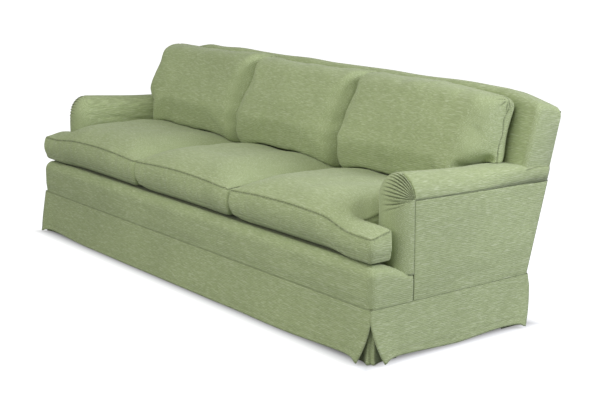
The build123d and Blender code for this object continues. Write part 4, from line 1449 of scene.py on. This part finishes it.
def makeBackCushion(label, ear):
    s = backCushionSet
    left, right, outLeft, outRight = cushionSpan(s, ear)
    drop = s["cornerDrop"][ear]
    endRun = s["reach"] - sofa["joint"]
    corners = [(left, s["low"]), (right, s["low"])]
    if ear > 0:
        corners += [(right, s["notch"]), (outRight + 0.008, s["notch"] - 0.006)]
    corners += [(outRight, s["high"] - drop * (ear > 0))]
    # the top line falls towards the outer end
    for share in np.linspace(0.92, 0.2, 10)[::ear] if ear else ():
        corners.append((ear * (sofa["joint"] + share * endRun), s["high"] - drop * share ** s["topFall"]))
    corners += [(outLeft, s["high"] - drop * (ear < 0))]
    if ear < 0:
        corners += [(outLeft, s["notch"] - 0.006), (left, s["notch"])]
    loop = drawnLoop(corners, drawnSides(corners, 0.15, s["drawIn"]), softness=8)

    def seamAt(x):
        # the seam lies further back where two cushions meet
        outer = ease(ear * x, 0.75, 1.0) if ear else np.zeros(len(x))
        return s["jointSeam"] + (s["seam"] - s["jointSeam"]) * outer

    def levels(flat, edge):
        x, rise = flat.T
        seam = seamAt(x)
        share = (rise - s["low"]) / (s["high"] - s["low"])
        thick = np.interp(share, *zip(*s["thickness"]))
        above = ease(rise - s["notch"], *s["notchBlend"])
        toLeft = x - left - (outLeft - left) * above
        toRight = right + (outRight - right) * above - x
        top = s["high"] - drop * np.clip((ear * x - sofa["joint"]) / endRun, 0, 1) ** s["topFall"]
        end = s["armRound"] + (s["endRound"][ear] - s["armRound"]) * above
        full = rounded(toLeft / (end if ear < 0 else s["leftRound"]), s["endPower"][ear])
        full *= rounded(toRight / (end if ear > 0 else s["rightRound"]), s["endPower"][ear])
        full *= rounded((top - rise) / s["topRound"], s["capPower"])
        full *= rounded((rise - s["low"]) / s["footRound"], s["capPower"])
        full *= rounded(edge / s["edgeRound"])
        if ear > 0:
            full *= 1 - s["endFall"] * (1 - np.clip((outRight - x) / s["endRun"], 0, 1)) ** 2
        upper = seam + s["seamHalf"] + (sofa["backThick"] + thick - seam) * full
        lower = s["rear"] + (seam - s["seamHalf"] - s["rear"]) * (1 - rounded(edge / s["rearEdge"]))
        return lower, upper

    def place(p):
        # over the arm the end hangs straight down, not along the lean
        over = ease(ear * p[:, 0] - sofa["armIn"], *s["hangBlend"]) if ear else 0
        hang = np.maximum(p[:, 2] - s["hangFrom"], 0) * leanSin / leanCos
        hang *= 1 - ease(p[:, 1] - s["notch"], *s["hangRise"])
        return onBack(p[:, 0], p[:, 1] - hang * over, p[:, 2])

    cushion = filledForm(label + "BackCushion", loop, s["rings"], s["spacing"], levels, s["bulge"], place)
    addMod(cushion, "REMESH", mode="VOXEL", voxel_size=s["voxel"])
    applyMods(cushion)
    relax(cushion, 2)
    puffCushion(cushion, s)
    relax(cushion, 2)
    armTree = treeOf(arms[label]) if ear else None
    seatTree = treeOf(seats[label])

    def overSeat(points, numbers):
        # how far these points are above the seat; large where no seat is below
        gaps = np.full(len(points), float(cushionSet["far"]))
        for number in numbers:
            x, y, z = points[number]
            hit = seatTree.ray_cast(Vector((x, y, 0.75)), Vector((0, 0, -1)))
            if hit[0] is not None:
                gaps[number] = z - hit[0].z - s["clear"]
        return gaps

    def settle(down):
        # inside its own place, resting on the seat and lying over the arm, a hair's breadth off both
        points = coordsOf(cushion)
        points[:, 0] = keepBetween(points[:, 0], ear, left, right, points[:, 2] < s["besideArm"])
        x, rise, out = toBack(points)
        points = onBack(x, rise, np.maximum(out, sofa["backThick"] + 0.0004))
        under = ease(-normalsOf(cushion)[:, 2], 0.2, 0.7)
        foot = np.flatnonzero(rise < s["low"] + s["footBand"])
        if down:
            gap = overSeat(points, foot)
            fall = np.maximum(gap, 0) * under * (1 - ease(gap, 0.03, 0.06))
            mean = meanOf(cushion)
            for _ in range(12):
                fall = fall * 0.4 + mean(fall) * 0.6
            points[:, 2] -= fall
        points[:, 2] -= np.minimum(overSeat(points, foot), 0)
        if ear:
            hollowY, hollowWidth = s["hollowAt"]
            near = (points[:, 2] < 0.68) & (np.abs(points[:, 0]) > sofa["armIn"] - 0.006)
            for number in np.flatnonzero(near):
                place = points[number]
                hit = armTree.ray_cast(Vector((place[0], place[1], 0.9)), Vector((0, 0, -1)))
                if hit[0] is None or hit[0].z < 0.5:
                    continue
                clear = hit[0].z + s["clear"] + s["hollow"] * bell(place[1] - hollowY, hollowWidth)
                points[number, 2] = max(place[2], clear)
        setCoords(cushion, points)

    settle(True)
    relax(cushion, 1)
    subdivide(cushion)
    points = coordsOf(cushion)
    normals = normalsOf(cushion)
    wave = ripple(points, s["fineWave"], 121 + ear) + ripple(points, s["longWave"], 131 + ear)
    setCoords(cushion, points + normals * wave[:, None])
    seamOut = seamAt(loop[:, 0]) + ripple(np.column_stack([loop, loop[:, :1]]), s["seamWave"], 141 + ear)
    line = onBack(loop[:, 0], loop[:, 1], seamOut)
    path = seamCushion(cushion, line, treeOf(cushion), 6, s["seamDepth"], 0.85)
    for way, edge in ((-1, outLeft), (1, outRight)):
        corner = nearestOn(path, onBack(edge, s["high"] - drop * (way == ear), seamAt(np.array([edge]))[0]))
        gatherCorner(cushion, corner, (way, -0.6, 0.8), 0.060, 11, 0.0060, 1.0, 0.3 * way)
    settle(False)
    finishCushion(cushion, label, "back", path)


for ear, label in ((-1, "left"), (0, "middle"), (1, "right")):
    makeBackCushion(label, ear)
    print("stage:", label, "back cushion made")


# dust cover under the frame, cut round the legs
dustSet = {"drop": 0.0008, "thick": 0.0008, "legRoom": 0.004, "spacing": 0.03, "holeSides": 28}


def makeDustCover():
    s = dustSet
    low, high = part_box("dust_cover")
    corners = [(low.x, low.y), (high.x, low.y), (high.x, high.y), (low.x, high.y)]
    loop = drawnLoop(corners, {}, step=0.02, softness=1)
    inside = evenGrid((low.x + 0.02, low.y + 0.02), (high.x - 0.01, high.y - 0.01), s["spacing"])
    holes = []
    for node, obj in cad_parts.items():
        if not node.endswith(("_leg", "middle_legs")):
            continue
        points = coordsOf(obj)
        band = points[np.abs(points[:, 2] - low.z) < 0.03]
        band = points[points[:, 2] > 0.06] if len(band) < 4 else band
        while len(band):
            near = np.linalg.norm(band[:, :2] - band[0, :2], axis=1) < 0.09
            part = band[near]
            centre = (part[:, :2].min(0) + part[:, :2].max(0)) / 2
            radius = np.linalg.norm(part[:, :2] - centre, axis=1).max() + s["legRoom"]
            holes.append((centre, radius))
            band = band[~near]
    groups = [loop]
    edges = ringEdges(0, len(loop))
    angle = np.linspace(0, 2 * math.pi, s["holeSides"], endpoint=False)
    circle = np.column_stack([np.cos(angle), np.sin(angle)])
    for number, (centre, radius) in enumerate(holes):
        groups.append(centre + radius * circle)
        edges += ringEdges(len(loop) + number * s["holeSides"], s["holeSides"])
        inside = inside[np.linalg.norm(inside - centre, axis=1) > radius + 0.006]
    flat, triangles = triangulate(groups + [inside], edges)
    faces = []
    for face in triangles:
        middle = flat[list(face)].mean(0)
        if all(np.linalg.norm(middle - centre) > radius * 0.98 for centre, radius in holes):
            faces.append(face[::-1])
    edge = edgeDistance(flat, loop)
    sag = s["drop"] * ease(edge, 0, 0.15)
    piece = newPiece("dustCover", np.column_stack([flat, low.z + s["thick"] - sag]), faces)
    thicken(piece, s["thick"])
    dress(piece, dustCloth, "sofa", "dust_cover", slot="lining")


makeDustCover()
print("stage: dust cover made")


# the CAD nodes that keep their shape get their own finish
finishes = {
    beechWood: ("front_rail", "rear_rail", "left_side_rail", "right_side_rail", "seat_stretchers",
                "arm_posts", "arm_rails", "arm_tack_rails", "back_posts", "back_uprights", "back_top_rail",
                "back_tack_rail", "corner_blocks"),
    stainedWood: ("front_left_leg", "front_right_leg", "rear_left_leg", "rear_right_leg", "middle_legs"),
    springSteel: ("seat_springs", "leg_bolts", "block_screws"),
    glideNylon: ("glides",),
    juteCloth: ("seat_webbing", "back_webbing", "seat_hessian", "back_hessian", "lashing_twine"),
}
for mat, names in finishes.items():
    for name in names:
        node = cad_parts[name]
        node.data.materials.clear()
        node.data.materials.append(mat)
print("stage: frame finished")


# plain pale floor, white behind, soft studio light; a lamp has a place, a size, a power and a colour
lightSet = {
    "world": 0.24,
    "worldColor": (1.0, 0.99, 0.90, 1),
    "key": ((3.9, 1.7, 2.5), 2.0, 125, (1.0, 1.0, 1.12)),
    "top": ((0.8, -1.0, 3.7), 2.4, 10, (1.0, 1.0, 1.0)),
    "fill": ((1.1, -3.3, 3.0), 4.6, 123, (1.0, 1.0, 0.97)),
    "floor": (0.30, 0.31, 0.33, 1),
    "floorGlow": (0.10, 1.0),
    "glowRun": (-0.05, 0.045),
    "foot": (1.20, 0.405, -0.07),
    "aim": (0, -0.1, 0.35),
}


def seenDirectly(tree):
    # 1 for what the camera sees, also in a reflection or through glass
    path = addNode(tree, "LightPath")
    seen = mathNode(tree, "MAXIMUM", path.outputs["Is Camera Ray"], path.outputs["Is Glossy Ray"])
    return mathNode(tree, "MAXIMUM", seen, path.outputs["Is Transmission Ray"])


def makeStudio():
    floor = newPiece("floor", [(-30, -30, 0), (30, -30, 0), (30, 30, 0), (-30, 30, 0)], [(0, 1, 2, 3)])
    mat = bpy.data.materials.new("paleFloor")
    mat.use_nodes = True
    tree = mat.node_tree
    shader = tree.nodes["Principled BSDF"]
    shader.inputs["Base Color"].default_value = lightSet["floor"]
    shader.inputs["Roughness"].default_value = 1.0
    shader.inputs["Specular IOR Level"].default_value = 0.0
    shader.inputs["Emission Color"].default_value = (1, 1, 1, 1)
    # the floor is white to look at, and less so close to the sofa, where its shadow falls
    parts = addNode(tree, "SeparateXYZ", {0: addNode(tree, "TexCoord").outputs["Object"]}).outputs
    halfX, halfY, middleY = lightSet["foot"]
    besideX = mathNode(tree, "SUBTRACT", mathNode(tree, "ABSOLUTE", parts[0]), halfX)
    besideY = mathNode(tree, "ABSOLUTE", mathNode(tree, "SUBTRACT", parts[1], middleY))
    besideY = mathNode(tree, "SUBTRACT", besideY, halfY)
    away = mathNode(tree, "MAXIMUM", besideX, besideY)
    glow = rangeNode(tree, away, *lightSet["glowRun"], *lightSet["floorGlow"])
    glow = mathNode(tree, "MULTIPLY", seenDirectly(tree), glow)
    tree.links.new(glow, shader.inputs["Emission Strength"])
    floor.data.materials.append(mat)
    world = bpy.data.worlds.new("studio")
    scene.world = world
    world.use_nodes = True
    tree = world.node_tree
    back = tree.nodes["Background"]
    back.inputs["Color"].default_value = lightSet["worldColor"]
    back.inputs["Strength"].default_value = lightSet["world"]
    white = addNode(tree, "Background", {"Color": (1, 1, 1, 1), "Strength": 1.0})
    mix = addNode(tree, "MixShader", {0: seenDirectly(tree)})
    tree.links.new(back.outputs[0], mix.inputs[1])
    tree.links.new(white.outputs[0], mix.inputs[2])
    tree.links.new(mix.outputs[0], tree.nodes["World Output"].inputs["Surface"])
    for name in ("key", "top", "fill"):
        place, size, power, color = lightSet[name]
        data = bpy.data.lights.new(name, "AREA")
        data.shape = "DISK"
        data.size = size
        data.energy = power
        data.color = color
        lamp = bpy.data.objects.new(name, data)
        lamp.location = place
        way = Vector(lightSet["aim"]) - Vector(place)
        lamp.rotation_euler = way.to_track_quat("-Z", "Y").to_euler()
        scene.collection.objects.link(lamp)


makeStudio()
print("stage: studio made")

bpy.context.view_layer.update()
